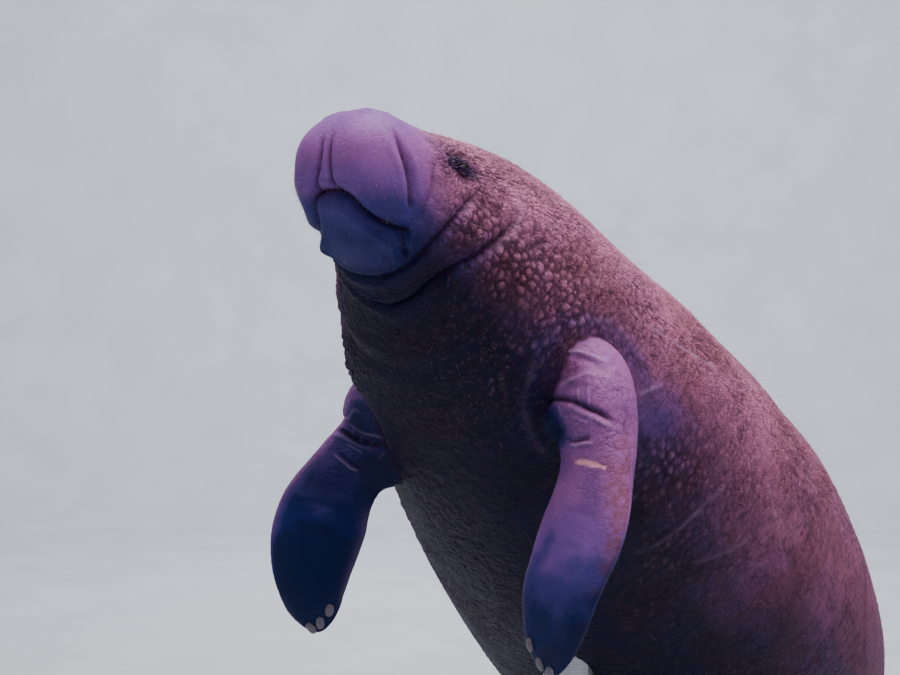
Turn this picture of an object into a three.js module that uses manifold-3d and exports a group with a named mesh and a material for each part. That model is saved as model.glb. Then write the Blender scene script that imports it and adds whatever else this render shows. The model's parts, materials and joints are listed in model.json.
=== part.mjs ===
// A life-size manatee on a museum stand, in the pose of one that hangs under the surface with its
// muzzle level, its back arched and its flippers down.
// Millimetres, +Z up. The animal faces -Y and its left side is towards +X. The origin is the middle
// of the base plate's underside.
// The body is worked out straight first, as a point (s, u, v): s runs back from the snout along the
// spine, u is to the animal's left and v is towards its back. The spine's pitch then bends it.
import * as THREE from "three";
import { mergeVertices } from "three/addons/utils/BufferGeometryUtils.js";
import Module from "manifold-3d";

const wasm = await Module();
wasm.setup();

// Driving dimensions
const LENGTH = 2900;
const GAP = 0.3;
const BASE = { x: 960, y: 1500, thick: 45, corner: 90, bevel: 6 };
const TAIL_CLEARANCE = 60;
// How far behind the snout the middle of the base is.
const STAND_AT = 1040;
const ROD = {
  radius: 24, sides: 24,
  foot: 75, footThick: 12, footEdge: 3, footFillet: 6,
  pad: 46, padDeep: 56, neckUnder: 24, neckLong: 40, neckSwell: 10,
  // How far the rod first runs on into the animal, before it is cut to the skin's shape
  into: 200,
};
const RODS = [
  { name: "stand_rod_front", under: "belly", y: -300 },
  { name: "stand_rod_rear", under: "tail_stock", y: 400 },
];
// Points closer than this are one point.
const SAME = 1e-3;

// Rings of the straight body: s, half width, height over the spine, depth under it, squareness.
const BODY_RINGS = [
  [0, 86, 83, 84, 2.5],
  [60, 92, 91, 106, 2.4],
  [130, 106, 91, 144, 2.3],
  [200, 127, 110, 168, 2.2],
  [300, 174, 144, 206, 2.1],
  [420, 224, 173, 240, 2],
  [560, 258, 208, 268, 2],
  [720, 306, 248, 302, 2],
  [950, 366, 290, 333, 2],
  [1250, 408, 316, 346, 2],
  [1520, 412, 308, 336, 2],
  [1780, 366, 274, 290, 2],
  [2000, 280, 218, 220, 2],
  [2170, 204, 162, 156, 2],
  [2300, 190, 112, 106, 2],
  [2430, 246, 68, 66, 2],
  [2560, 312, 43, 41, 2],
  [2700, 336, 33, 31, 2],
  [2900, 330, 27, 25, 2],
];
const NOSE_ROUND = 62;
const PADDLE_ROUND = 330;
const CHIN_BACK = 26;

// The spine's pitch at s, in degrees: how far the head end points up.
const PITCH = [
  [0, 5],
  [150, 15],
  [300, 26],
  [450, 37],
  [700, 37],
  [1200, 40],
  [1800, 46],
  [2300, 50],
  [2900, 36],
];
// How far the spine stands to the animal's left at s, because the head is turned to its right.
const SWAY = [
  [0, 1],
  [80, 10],
  [190, 12],
  [330, 4],
  [470, 0],
  [620, 0],
];
const STRAIGHT_FROM = [400, 620];

// Where the body is parted, by s, and how many corners and rings each part has.
const PARTS = [
  { name: "head", from: 0, to: 340, corners: 88, rings: 31 },
  { name: "neck", from: 340, to: 450, corners: 56, rings: 5 },
  { name: "chest", from: 450, to: 1000, corners: 44, rings: 11 },
  { name: "belly", from: 1000, to: 1700, corners: 40, rings: 10 },
  { name: "tail_stock", from: 1700, to: 2300, corners: 36, rings: 9 },
  { name: "tail_paddle", from: 2300, to: LENGTH, corners: 44, rings: 14 },
];

const SKIN = { color: 0x75606c, roughness: 0.62, metalness: 0 };
const LOOKS = {
  skin: new THREE.MeshStandardMaterial(SKIN),
  eye: new THREE.MeshStandardMaterial({ color: 0x120c10, roughness: 0.12, metalness: 0 }),
  nail: new THREE.MeshStandardMaterial({ color: 0xb9a99c, roughness: 0.45, metalness: 0 }),
  wood: new THREE.MeshStandardMaterial({ color: 0x2b2624, roughness: 0.5, metalness: 0 }),
  steel: new THREE.MeshStandardMaterial({ color: 0x8d9095, roughness: 0.35, metalness: 1 }),
};

// A natural cubic spline through [x, y] pairs, as a function of x.
function curveThrough(pairs) {
  const n = pairs.length;
  const x = pairs.map((p) => p[0]);
  const y = pairs.map((p) => p[1]);
  const bend = new Array(n).fill(0);
  const left = new Array(n).fill(0);
  for (let i = 1; i < n - 1; i++) {
    const before = x[i] - x[i - 1];
    const after = x[i + 1] - x[i];
    const p = before * left[i - 1] + 2 * (before + after);
    const change = (y[i + 1] - y[i]) / after - (y[i] - y[i - 1]) / before;
    left[i] = -after / p;
    bend[i] = (6 * change - before * bend[i - 1]) / p;
  }
  for (let i = n - 2; i > 0; i--) bend[i] += left[i] * bend[i + 1];
  return (at) => {
    let i = 0;
    while (i < n - 2 && at > x[i + 1]) i++;
    const h = x[i + 1] - x[i];
    const a = (x[i + 1] - at) / h;
    const b = 1 - a;
    const sag = ((a * a * a - a) * bend[i] + (b * b * b - b) * bend[i + 1]) * h * h / 6;
    return a * y[i] + b * y[i + 1] + sag;
  };
}

const smooth = (from, to, x) => THREE.MathUtils.smoothstep(x, from, to);
const halfWidth = curveThrough(BODY_RINGS.map((r) => [r[0], r[1]]));
const height = curveThrough(BODY_RINGS.map((r) => [r[0], r[2]]));
const depth = curveThrough(BODY_RINGS.map((r) => [r[0], r[3]]));
const squareness = curveThrough(BODY_RINGS.map((r) => [r[0], r[4]]));

// How far a ring at s has shrunk on its way to the snout, and to the end of the paddle.
function noseShare(s) {
  const t = Math.min(1, s / NOSE_ROUND);
  return Math.sqrt(t * (2 - t));
}
function paddleShare(s) {
  const t = Math.max(0, (s - LENGTH + PADDLE_ROUND) / PADDLE_ROUND);
  return Math.pow(Math.max(0, 1 - t * t), 0.5);
}

const power = (x, p) => Math.sign(x) * Math.pow(Math.abs(x), p);

// The straight body's plain surface. The angle is 0 at the back and grows towards the left.
function plainSurface(s, angle) {
  const p = 2 / squareness(s);
  const nose = noseShare(s);
  const end = paddleShare(s);
  const c = Math.cos(angle);
  const u = halfWidth(s) * nose * end * power(Math.sin(angle), p);
  const v = (c > 0 ? height(s) : depth(s)) * nose * Math.sqrt(end) * power(c, p);
  const under = Math.max(0, -v - 18) / 100;
  const back = CHIN_BACK * Math.pow(under, 1.4) * (1 - smooth(40, 320, s));
  return new THREE.Vector3(s + back, u, v);
}

function plainNormal(s, angle) {
  const ds = Math.min(2, s * 0.5, (LENGTH - s) * 0.5);
  const along = plainSurface(s + ds, angle).sub(plainSurface(s - ds, angle));
  const round = plainSurface(s, angle + 0.01).sub(plainSurface(s, angle - 0.01));
  return round.cross(along).negate().normalize();
}

// A point on the plain surface's left side: [s, degrees from the back], or on the flat of the
// muzzle's front: { u, v }.
function onBody(place) {
  if (Array.isArray(place)) return plainSurface(place[0], THREE.MathUtils.degToRad(place[1]));
  const { u, v } = place;
  const p = squareness(0);
  const w = halfWidth(NOSE_ROUND / 2);
  const h = v > 0 ? height(NOSE_ROUND / 2) : depth(NOSE_ROUND / 2);
  const share = Math.pow(Math.pow(Math.abs(u / w), p) + Math.pow(Math.abs(v / h), p), 1 / p);
  const s = NOSE_ROUND * (1 - Math.sqrt(Math.max(0, 1 - share * share)));
  return plainSurface(s, Math.atan2(power(u / w, p / 2), power(v / h, p / 2)));
}

// Creases and ridges of the left side, mirrored on the right: where each runs, how wide and how
// deep it is, how high the skin swells beside it, and over which share of each end it dies away.
const CREASES = [
  // The groove beside the thin ridge in the middle of the upper lip
  {
    run: [{ u: 10, v: 50 }, { u: 9, v: 26 }, { u: 10, v: 2 }, { u: 14, v: -20 }, { u: 21, v: -41 }],
    wide: 6, deep: 8, swell: 1, fade: [0.45, 0],
  },
  // The mouth, highest in the middle
  {
    run: [
      { u: 0, v: -42 }, { u: 20, v: -43 }, { u: 35, v: -49 },
      [24, 147], [37, 144], [56, 138], [78, 132], [92, 126],
    ],
    wide: 8, deep: 14, swell: 3, fade: [0, 0.12],
  },
  // The crease between the lip's pad and the cheek
  {
    run: [[46, 54], [48, 66], [53, 78], [64, 89], [73, 98], [76, 108], [80, 117]],
    wide: 8, deep: 9, swell: 2, fade: [0.5, 0.2],
  },
  // The softer crease behind it
  {
    run: [[114, 70], [112, 84], [110, 98], [103, 106], [99, 115], [92, 124]],
    wide: 11, deep: 4, swell: 1, fade: [0.3, 0.3],
  },
  // The lower lip's corner
  {
    run: [[80, 131], [82, 138], [96, 144], [108, 146]],
    wide: 8, deep: 6, swell: 3, fade: [0.2, 0.3],
  },
  // The fold along the jaw
  {
    run: [[200, 82], [184, 90], [167, 98], [143, 113], [126, 130], [118, 147], [115, 164], [116, 180]],
    wide: 10, deep: 9, swell: 2, fade: [0.35, 0],
  },
  // The fold under the throat
  {
    run: [[276, 76], [250, 95], [229, 107], [202, 120], [180, 133], [170, 148], [178, 164], [188, 180]],
    wide: 11, deep: 11, swell: 3, fade: [0.35, 0],
  },
  // The skin fold in front of the eye
  {
    run: [[110, 38], [121, 53], [129, 68], [135, 78], [142, 84], [152, 91]],
    wide: 8, deep: -4, swell: -3, fade: [0.25, 0.3],
  },
  // The fold across the throat at the root of the neck
  {
    run: [[352, 180], [346, 150], [350, 128], [376, 108]],
    wide: 18, deep: 4, swell: 2, fade: [0, 0.4],
  },
];

// Swellings (up) and pits (negative): the middle, the radius and how far the skin rises.
const EYE_PLACE = [164, 72];
const LUMPS = [
  { at: { u: 50, v: 24 }, radius: 44, up: 11 },
  { at: { u: 54, v: -28 }, radius: 30, up: 7 },
  { at: [60, 108], radius: 26, up: 3 },
  { at: { u: 0, v: -62 }, radius: 34, up: 4 },
  { at: [72, 146], radius: 22, up: 8 },
  { at: [60, 178], radius: 50, up: 6 },
  { at: EYE_PLACE, radius: 26, up: -8 },
  { at: [168, 48], radius: 34, up: 4 },
  { at: [146, 103], radius: 30, up: 4 },
  { at: [190, 112], radius: 30, up: 4 },
  { at: [440, 140], radius: 60, up: 13 },
];

const STEPS_ALONG = 24;
function prepared(crease) {
  const through = crease.run.map(onBody);
  const curve = new THREE.CatmullRomCurve3(through, false, "centripetal");
  return { ...crease, points: curve.getPoints(STEPS_ALONG) };
}
const creases = CREASES.map(prepared);
const lumps = LUMPS.map((lump) => ({ ...lump, middle: onBody(lump.at) }));

const segment = new THREE.Line3();
const nearest = new THREE.Vector3();
function besideLine(points, p) {
  let far = Infinity;
  let share = 0;
  for (let i = 1; i < points.length; i++) {
    const t = segment.set(points[i - 1], points[i]).closestPointToPointParameter(p, true);
    const distance = segment.at(t, nearest).distanceTo(p);
    if (distance > far) continue;
    far = distance;
    share = (i - 1 + t) / (points.length - 1);
  }
  return { far, share };
}

// 1 along a crease's middle, dying away to 0 over a share of each end.
function fading(share, [first, last]) {
  const start = first ? smooth(0, first, share) : 1;
  const end = last ? 1 - smooth(1 - last, 1, share) : 1;
  return start * end;
}

// The ring of lid round each eye, and each nostril's pit and rim.
const EYE = { radius: 11, sunk: 7 };
const LID = { radius: 14, width: 5, up: 6 };
const NOSTRIL = { at: [52, 20], radius: 9, deep: 12, rim: 16, rimWidth: 5, rimUp: 2 };
const eyeMiddle = onBody(EYE_PLACE);
const nostrilMiddle = onBody(NOSTRIL.at);

function relief(p) {
  const left = new THREE.Vector3(p.x, Math.abs(p.y), p.z);
  let up = 0;
  for (const { points, wide, deep, swell, fade } of creases) {
    const { far, share } = besideLine(points, left);
    const d = far / wide;
    if (d > 6) continue;
    const much = fading(share, fade);
    up -= much * deep * Math.exp(-Math.pow(d, 1.5));
    up += much * swell * Math.exp(-Math.pow((d - 2.2) / 1.1, 2));
  }
  for (const lump of lumps) {
    const d = lump.middle.distanceTo(left) / lump.radius;
    up += lump.up * Math.exp(-d * d);
  }
  const lid = (eyeMiddle.distanceTo(left) - LID.radius) / LID.width;
  up += LID.up * Math.exp(-lid * lid);
  const nostril = nostrilMiddle.distanceTo(left);
  up -= NOSTRIL.deep * Math.exp(-Math.pow(nostril / NOSTRIL.radius, 2));
  up += NOSTRIL.rimUp * Math.exp(-Math.pow((nostril - NOSTRIL.rim) / NOSTRIL.rimWidth, 2));
  return up;
}

// The spine in space, from the pitch: where it is and which way it runs, at s.
const SPINE_STEP = 5;
const pitchAt = curveThrough(PITCH);
const spine = [new THREE.Vector3()];
for (let s = 0; s < LENGTH + 100; s += SPINE_STEP) {
  const pitch = THREE.MathUtils.degToRad(pitchAt(s + SPINE_STEP / 2));
  const step = new THREE.Vector3(0, Math.cos(pitch), -Math.sin(pitch)).multiplyScalar(SPINE_STEP);
  spine.push(spine.at(-1).clone().add(step));
}

const swayCurve = curveThrough(SWAY);
function swayAt(s) {
  const near = THREE.MathUtils.clamp(s, SWAY[0][0], SWAY.at(-1)[0]);
  return swayCurve(near) * (1 - smooth(...STRAIGHT_FROM, s));
}

function bent(p) {
  const pitch = THREE.MathUtils.degToRad(pitchAt(p.x));
  const turn = Math.atan(swayAt(p.x + 0.5) - swayAt(p.x - 0.5));
  const back = new THREE.Vector3(0, Math.cos(pitch), -Math.sin(pitch));
  const up = new THREE.Vector3(0, Math.sin(pitch), Math.cos(pitch));
  const i = Math.max(0, Math.min(spine.length - 2, Math.floor(p.x / SPINE_STEP)));
  return spine[i].clone()
    .addScaledVector(back, p.x - i * SPINE_STEP - p.y * Math.sin(turn))
    .addScaledVector(up, p.z)
    .add(new THREE.Vector3(swayAt(p.x) + p.y * Math.cos(turn), 0, 0));
}

function skinPoint(s, angle) {
  const p = plainSurface(s, angle);
  return p.addScaledVector(plainNormal(s, angle), relief(p));
}

// A closed mesh from rings of points that all have the same number of corners. Each four-sided cell
// is split along its shorter diagonal, and each end is closed by a fan round its own middle.
function loft(rings, first, last) {
  const corners = rings[0].length;
  const points = [...rings.flat(), first, last];
  const start = points.length - 2;
  const end = points.length - 1;
  const faces = [];
  for (let r = 0; r < rings.length - 1; r++) {
    for (let c = 0; c < corners; c++) {
      const a = r * corners + c;
      const b = r * corners + (c + 1) % corners;
      const [d, e] = [a + corners, b + corners];
      const short = points[b].distanceTo(points[d]) < points[a].distanceTo(points[e]);
      faces.push(...(short ? [a, b, d, b, e, d] : [a, b, e, a, e, d]));
    }
  }
  const lastRing = (rings.length - 1) * corners;
  for (let c = 0; c < corners; c++) {
    const next = (c + 1) % corners;
    faces.push(start, next, c, end, lastRing + c, lastRing + next);
  }
  const geometry = new THREE.BufferGeometry().setFromPoints(points);
  geometry.setIndex(faces);
  return geometry;
}

// The rings of the head lean forward under the throat, along its folds.
const LEAN = { most: 88, from: 20, full: 190, less: 276, until: 340, side: [1.3, 2.6] };
function ringPlace(s, angle) {
  const under = smooth(...LEAN.side, Math.acos(Math.cos(angle)));
  const share = smooth(LEAN.from, LEAN.full, s) * (1 - smooth(LEAN.less, LEAN.until, s));
  return s - LEAN.most * share * under;
}

// The head's first rings cross the flat of the muzzle, evenly spaced outwards from its middle.
const MUZZLE = { rings: 13, apart: 6.2, first: 0.7 };
// Behind the muzzle the rings start closer together than even ones, by this share.
const CLOSER = 0.62;
function headPlaces(to, rings) {
  const places = [];
  for (let i = 0; i < MUZZLE.rings; i++) {
    const share = (i + MUZZLE.first) * MUZZLE.apart / halfWidth(0);
    places.push(NOSE_ROUND * (1 - Math.sqrt(1 - share * share)));
  }
  const behind = places.at(-1);
  const left = rings - MUZZLE.rings;
  for (let i = 1; i <= left; i++) {
    const t = i / left;
    places.push(behind + (to - GAP / 2 - behind) * t * THREE.MathUtils.lerp(CLOSER, 1, t));
  }
  return places;
}

// The last ring stands this far before the end of the paddle.
const TIP_SHORT = 0.6;
function bodyPart({ from, to, corners, rings }) {
  const nose = from === 0;
  const tip = to === LENGTH;
  const last = to - (tip ? TIP_SHORT : GAP / 2);
  const shares = Array.from({ length: rings + 1 }, (_, i) => i / rings);
  const places = nose
    ? headPlaces(to, rings + 1)
    : shares.map((t) => THREE.MathUtils.lerp(from + GAP / 2, last, tip ? Math.sin(t * Math.PI / 2) : t));
  const made = places.map((s, i) => {
    const flat = (i === 0 && !nose) || (i === rings && !tip);
    return Array.from({ length: corners }, (_, c) => {
      const angle = (c / corners) * 2 * Math.PI;
      const p = skinPoint(ringPlace(s, angle), angle);
      if (flat) p.x = s;
      return bent(p);
    });
  });
  const snout = new THREE.Vector3();
  snout.x -= relief(snout);
  const startMiddle = bent(nose ? snout : new THREE.Vector3(places[0], 0, 0));
  const endMiddle = bent(new THREE.Vector3(tip ? LENGTH : places.at(-1), 0, 0));
  return loft(made, startMiddle, endMiddle);
}

function solidOf(geometry) {
  const plain = geometry.clone();
  plain.deleteAttribute("normal");
  plain.deleteAttribute("uv");
  const merged = mergeVertices(plain, SAME);
  return new wasm.Manifold(new wasm.Mesh({
    numProp: 3,
    vertProperties: merged.getAttribute("position").array,
    triVerts: new Uint32Array(merged.index.array),
  }));
}

function geometryOf(solid) {
  const { numProp, numVert, vertProperties, triVerts } = solid.getMesh();
  const positions = new Float32Array(numVert * 3);
  for (let i = 0; i < numVert; i++) {
    positions.set(vertProperties.subarray(i * numProp, i * numProp + 3), i * 3);
  }
  return new THREE.BufferGeometry()
    .setAttribute("position", new THREE.BufferAttribute(positions, 3))
    .setIndex(new THREE.BufferAttribute(triVerts, 1));
}

const largest = (solid) => solid.decompose().sort((a, b) => b.volume() - a.volume())[0];

// The geometry with its surface moved out by a distance, for cutting a neighbour clear of it.
function grown(geometry, distance) {
  const out = mergeVertices(geometry.clone(), SAME);
  out.computeVertexNormals();
  const position = out.getAttribute("position");
  const normal = out.getAttribute("normal");
  const p = new THREE.Vector3();
  const n = new THREE.Vector3();
  for (let i = 0; i < position.count; i++) {
    p.fromBufferAttribute(position, i);
    n.fromBufferAttribute(normal, i);
    p.addScaledVector(n, distance);
    position.setXYZ(i, p.x, p.y, p.z);
  }
  out.deleteAttribute("normal");
  return out;
}

// The flippers. Their joints are measured from the middle of the root, in the animal's own
// directions: out from the body, forward (-Y) and up.
const ROOT_PLACE = [536, 121.5];
const LEADING_EDGE = [0.95, 0.25, 0.1];
const FLIPPER = {
  corners: 26, rings: 16, crowded: 0.6, lastRing: 0.999,
  round: 0.1, leadingSwell: 0.28, armpitSwell: 0.55, armpitUntil: 0.4,
};
const FLIPPER_SECTIONS = [
  // share of the length, half width, half thickness
  [0, 84, 54],
  [0.17, 80, 52],
  [0.33, 66, 44],
  [0.45, 69, 33],
  [0.57, 82, 25],
  [0.7, 80, 20],
  [0.83, 64, 16],
  [0.93, 46, 12],
  [1, 34, 9],
];
const JOINTS = {
  left: [
    [-100, -2, 16],
    [-24, 4, 4],
    [12, 26, -28],
    [32, 48, -88],
    [36, 76, -152],
    [30, 108, -221],
    [15, 138, -293],
    [0, 138, -364],
    [-5, 131, -417],
  ],
  right: [
    [-100, -16, -26],
    [-46, -26, -50],
    [-22, -30, -92],
    [32, -15, -148],
    [68, 9, -218],
    [74, 33, -286],
    [71, 42, -350],
    [62, 36, -420],
  ],
};
const flipperWidth = curveThrough(FLIPPER_SECTIONS.map((f) => [f[0], f[1]]));
const flipperThickness = curveThrough(FLIPPER_SECTIONS.map((f) => [f[0], f[2]]));
const SIDES = { left: 1, right: -1 };

// One flipper's surface, as a function of the share of its length and of the angle round it. The
// angle is 0 at the leading edge and a quarter turn at the front face.
function flipperSurface(name) {
  const side = SIDES[name];
  const root = bent(onBody(ROOT_PLACE));
  root.x *= side;
  const inSpace = ([out, forward, up]) => new THREE.Vector3(side * out, -forward, up);
  const joints = JOINTS[name].map((joint) => inSpace(joint).add(root));
  const path = new THREE.CatmullRomCurve3(joints, false, "centripetal");
  const leading = inSpace(LEADING_EDGE);
  return (t, angle) => {
    const tangent = path.getTangentAt(t);
    const wide = leading.clone().addScaledVector(tangent, -leading.dot(tangent)).normalize();
    const thick = new THREE.Vector3().crossVectors(tangent, wide).multiplyScalar(side);
    const end = Math.max(0, (t - 1 + FLIPPER.round) / FLIPPER.round);
    const share = Math.sqrt(1 - end * end);
    const edge = Math.cos(angle);
    const flat = Math.sin(angle) * (1 + FLIPPER.leadingSwell * edge);
    const armpit = edge < 0 ? 1 + FLIPPER.armpitSwell * (1 - smooth(0.1, FLIPPER.armpitUntil, t)) : 1;
    return path.getPointAt(t)
      .addScaledVector(wide, flipperWidth(t) * share * edge * armpit)
      .addScaledVector(thick, flipperThickness(t) * Math.sqrt(share) * flat);
  };
}

function flipper(name) {
  const surface = flipperSurface(name);
  const rings = [];
  for (let r = 0; r <= FLIPPER.rings; r++) {
    const even = r / FLIPPER.rings;
    const crowded = THREE.MathUtils.lerp(even, Math.sin(even * Math.PI / 2), FLIPPER.crowded);
    const t = FLIPPER.lastRing * crowded;
    rings.push(Array.from({ length: FLIPPER.corners }, (_, c) => (
      surface(t, SIDES[name] * (c / FLIPPER.corners) * 2 * Math.PI)
    )));
  }
  const middle = (t) => surface(t, 0).add(surface(t, Math.PI)).multiplyScalar(0.5);
  return loft(rings, middle(0), middle((1 + FLIPPER.lastRing) / 2));
}

// Three nails on the front face of each flipper's tip: the share of the length and the angle.
const NAIL = {
  long: 11, wide: 7.5, thick: 4.5, corners: 10, rings: 6, alongStep: 0.01, roundStep: 0.05,
};
const NAILS = [[0.925, 2.3], [0.965, 1.9], [0.98, 1.2]];

function nail(name, [t, angle]) {
  const surface = flipperSurface(name);
  const at = surface(t, angle);
  const { alongStep, roundStep } = NAIL;
  const along = surface(t + alongStep, angle).sub(surface(t - alongStep, angle)).normalize();
  const round = surface(t, angle + roundStep).sub(surface(t, angle - roundStep));
  const out = new THREE.Vector3().crossVectors(along, round).normalize();
  const across = new THREE.Vector3().crossVectors(along, out);
  const geometry = new THREE.SphereGeometry(1, NAIL.corners, NAIL.rings);
  geometry.scale(NAIL.wide, NAIL.long, NAIL.thick);
  geometry.applyMatrix4(new THREE.Matrix4().makeBasis(across, along, out).setPosition(at));
  return geometry;
}

// The stand
function baseGeometry() {
  const { x, y, thick, corner, bevel } = BASE;
  const plate = new THREE.Shape();
  const w = x / 2 - bevel;
  const d = y / 2 - bevel;
  const r = corner - bevel;
  plate.moveTo(w, -d + r);
  plate.lineTo(w, d - r);
  plate.absarc(w - r, d - r, r, 0, Math.PI / 2);
  plate.absarc(-w + r, d - r, r, Math.PI / 2, Math.PI);
  plate.absarc(-w + r, -d + r, r, Math.PI, 1.5 * Math.PI);
  plate.absarc(w - r, -d + r, r, 1.5 * Math.PI, 2 * Math.PI);
  return new THREE.ExtrudeGeometry(plate, {
    depth: thick - 2 * bevel,
    bevelThickness: bevel,
    bevelSize: bevel,
    bevelSegments: 2,
    curveSegments: 5,
  }).translate(0, 0, bevel);
}

// A rod that stands on the base at y and runs up to a top, with a foot flange and a wider pad.
function rodGeometry(y, bottom, top) {
  const { radius, foot, footThick, footEdge, footFillet, pad, padDeep, into } = ROD;
  const footTop = bottom + footThick;
  const padUnder = top - padDeep;
  const profile = [
    [0, bottom],
    [foot - footEdge, bottom],
    [foot, bottom + footEdge],
    [foot, footTop - footEdge],
    [foot - footEdge, footTop],
    [radius + footFillet, footTop],
    [radius, footTop + footFillet],
    [radius, padUnder - ROD.neckLong],
    [radius + ROD.neckSwell, padUnder - ROD.neckUnder],
    [pad, padUnder],
    [pad, top + into],
    [0, top + into],
  ].map(([x, z]) => new THREE.Vector2(x, z));
  return new THREE.LatheGeometry(profile, ROD.sides).rotateX(Math.PI / 2).translate(0, y, 0);
}

const model = new THREE.Group();

function add(name, geometry, look) {
  const made = new THREE.Mesh(geometry, LOOKS[look]);
  made.name = name;
  model.add(made);
}

// Everything of the animal, first where the spine starts at the origin and then set on the stand.
const parts = new Map(PARTS.map((part) => [part.name, bodyPart(part)]));
const grownSolid = (geometry) => solidOf(grown(geometry, GAP));
const trunk = ["neck", "chest"].map((name) => parts.get(name));
const near = wasm.Manifold.union(trunk.flatMap((part) => [solidOf(part), grownSolid(part)]));
for (const name of Object.keys(SIDES)) {
  const limb = flipper(name);
  parts.set(`flipper_${name}`, geometryOf(largest(solidOf(limb).subtract(near))));
  const clear = grownSolid(limb);
  NAILS.forEach((place, i) => {
    const cut = solidOf(nail(name, place)).subtract(clear);
    parts.set(`nail_${name}_${i + 1}`, geometryOf(largest(cut)));
  });
}
let head = solidOf(parts.get("head"));
for (const [name, side] of Object.entries(SIDES)) {
  const out = plainNormal(EYE_PLACE[0], THREE.MathUtils.degToRad(EYE_PLACE[1]));
  const straight = eyeMiddle.clone().addScaledVector(out, -EYE.sunk);
  straight.y *= side;
  const middle = bent(straight);
  const ball = new THREE.IcosahedronGeometry(EYE.radius, 2).translate(...middle);
  const socket = new THREE.IcosahedronGeometry(EYE.radius + GAP, 2).translate(...middle);
  parts.set(`eye_${name}`, ball);
  head = head.subtract(solidOf(socket));
}
parts.set("head", geometryOf(largest(head)));

const whole = new THREE.Box3();
for (const geometry of parts.values()) {
  geometry.computeBoundingBox();
  whole.union(geometry.boundingBox);
}
const lift = Math.ceil(BASE.thick + TAIL_CLEARANCE - whole.min.z);
for (const [name, geometry] of parts) {
  geometry.translate(0, -STAND_AT, lift);
  const look = name.startsWith("eye") ? "eye" : name.startsWith("nail") ? "nail" : "skin";
  add(name, geometry, look);
}

add("stand_base", baseGeometry(), "wood");
// The ray runs a little beside the middle plane, clear of the edges that lie in it.
const ASIDE = 0.1;
const raycaster = new THREE.Raycaster();
for (const { name, under, y } of RODS) {
  raycaster.set(new THREE.Vector3(ASIDE, y, BASE.thick), new THREE.Vector3(0, 0, 1));
  const part = new THREE.Mesh(parts.get(under), new THREE.MeshBasicMaterial({ side: THREE.DoubleSide }));
  const top = BASE.thick + raycaster.intersectObject(part)[0].distance;
  const rod = solidOf(rodGeometry(y, BASE.thick + GAP, top));
  add(name, geometryOf(largest(rod.subtract(grownSolid(parts.get(under))))), "steel");
}

export default model;
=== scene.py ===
import json
import math

import bpy
import numpy as np
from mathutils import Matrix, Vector
from mathutils.kdtree import KDTree

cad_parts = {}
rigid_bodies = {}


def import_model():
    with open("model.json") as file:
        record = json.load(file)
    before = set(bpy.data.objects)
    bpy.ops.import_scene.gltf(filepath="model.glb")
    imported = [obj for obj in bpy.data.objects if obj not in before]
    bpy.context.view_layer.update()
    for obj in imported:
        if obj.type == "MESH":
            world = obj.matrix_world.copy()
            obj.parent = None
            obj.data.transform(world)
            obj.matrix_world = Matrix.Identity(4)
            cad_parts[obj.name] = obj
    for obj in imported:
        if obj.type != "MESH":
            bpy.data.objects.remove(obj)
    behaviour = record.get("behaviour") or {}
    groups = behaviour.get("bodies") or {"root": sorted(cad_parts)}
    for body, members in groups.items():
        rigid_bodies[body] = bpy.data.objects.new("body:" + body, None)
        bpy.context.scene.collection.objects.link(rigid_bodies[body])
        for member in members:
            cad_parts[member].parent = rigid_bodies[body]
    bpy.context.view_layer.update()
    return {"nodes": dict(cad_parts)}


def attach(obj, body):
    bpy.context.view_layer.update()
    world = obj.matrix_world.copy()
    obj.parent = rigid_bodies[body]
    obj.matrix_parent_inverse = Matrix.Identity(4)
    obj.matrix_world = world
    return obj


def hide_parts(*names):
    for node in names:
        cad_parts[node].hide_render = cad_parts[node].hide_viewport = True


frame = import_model()

MM = 0.001
LENGTH = 2900
# How far the snout stands from the middle of the stand, and over the floor
STAND_AT = 1040
LIFT = 1930
FINE = 1.0

# Rings of the straight body: s, half width, height over the spine, depth under it, squareness.
BODY_RINGS = [
    (0, 86, 83, 84, 2.5),
    (60, 92, 91, 106, 2.4),
    (130, 106, 91, 144, 2.3),
    (200, 127, 110, 168, 2.2),
    (300, 174, 144, 206, 2.1),
    (420, 224, 173, 240, 2),
    (560, 258, 208, 268, 2),
    (720, 306, 248, 302, 2),
    (950, 366, 290, 333, 2),
    (1250, 408, 316, 346, 2),
    (1520, 412, 308, 336, 2),
    (1780, 366, 274, 290, 2),
    (2000, 280, 218, 220, 2),
    (2170, 204, 162, 156, 2),
    (2300, 190, 112, 106, 2),
    (2430, 246, 68, 66, 2),
    (2560, 312, 43, 41, 2),
    (2700, 336, 33, 31, 2),
    (2900, 330, 27, 25, 2),
]
NOSE_ROUND = 62
PADDLE_ROUND = 330
CHIN_BACK = 26

# The spine's pitch at s, in degrees: how far the head end points up.
PITCH = [
    (0, 5),
    (150, 15),
    (300, 26),
    (450, 37),
    (700, 37),
    (1200, 40),
    (1800, 46),
    (2300, 50),
    (2900, 36),
]
# How far the spine stands to the animal's left at s, because the head is turned to its right.
SWAY = [(0, 1), (80, 10), (190, 12), (330, 4), (470, 0), (620, 0)]
STRAIGHT_FROM = (400, 620)


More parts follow.
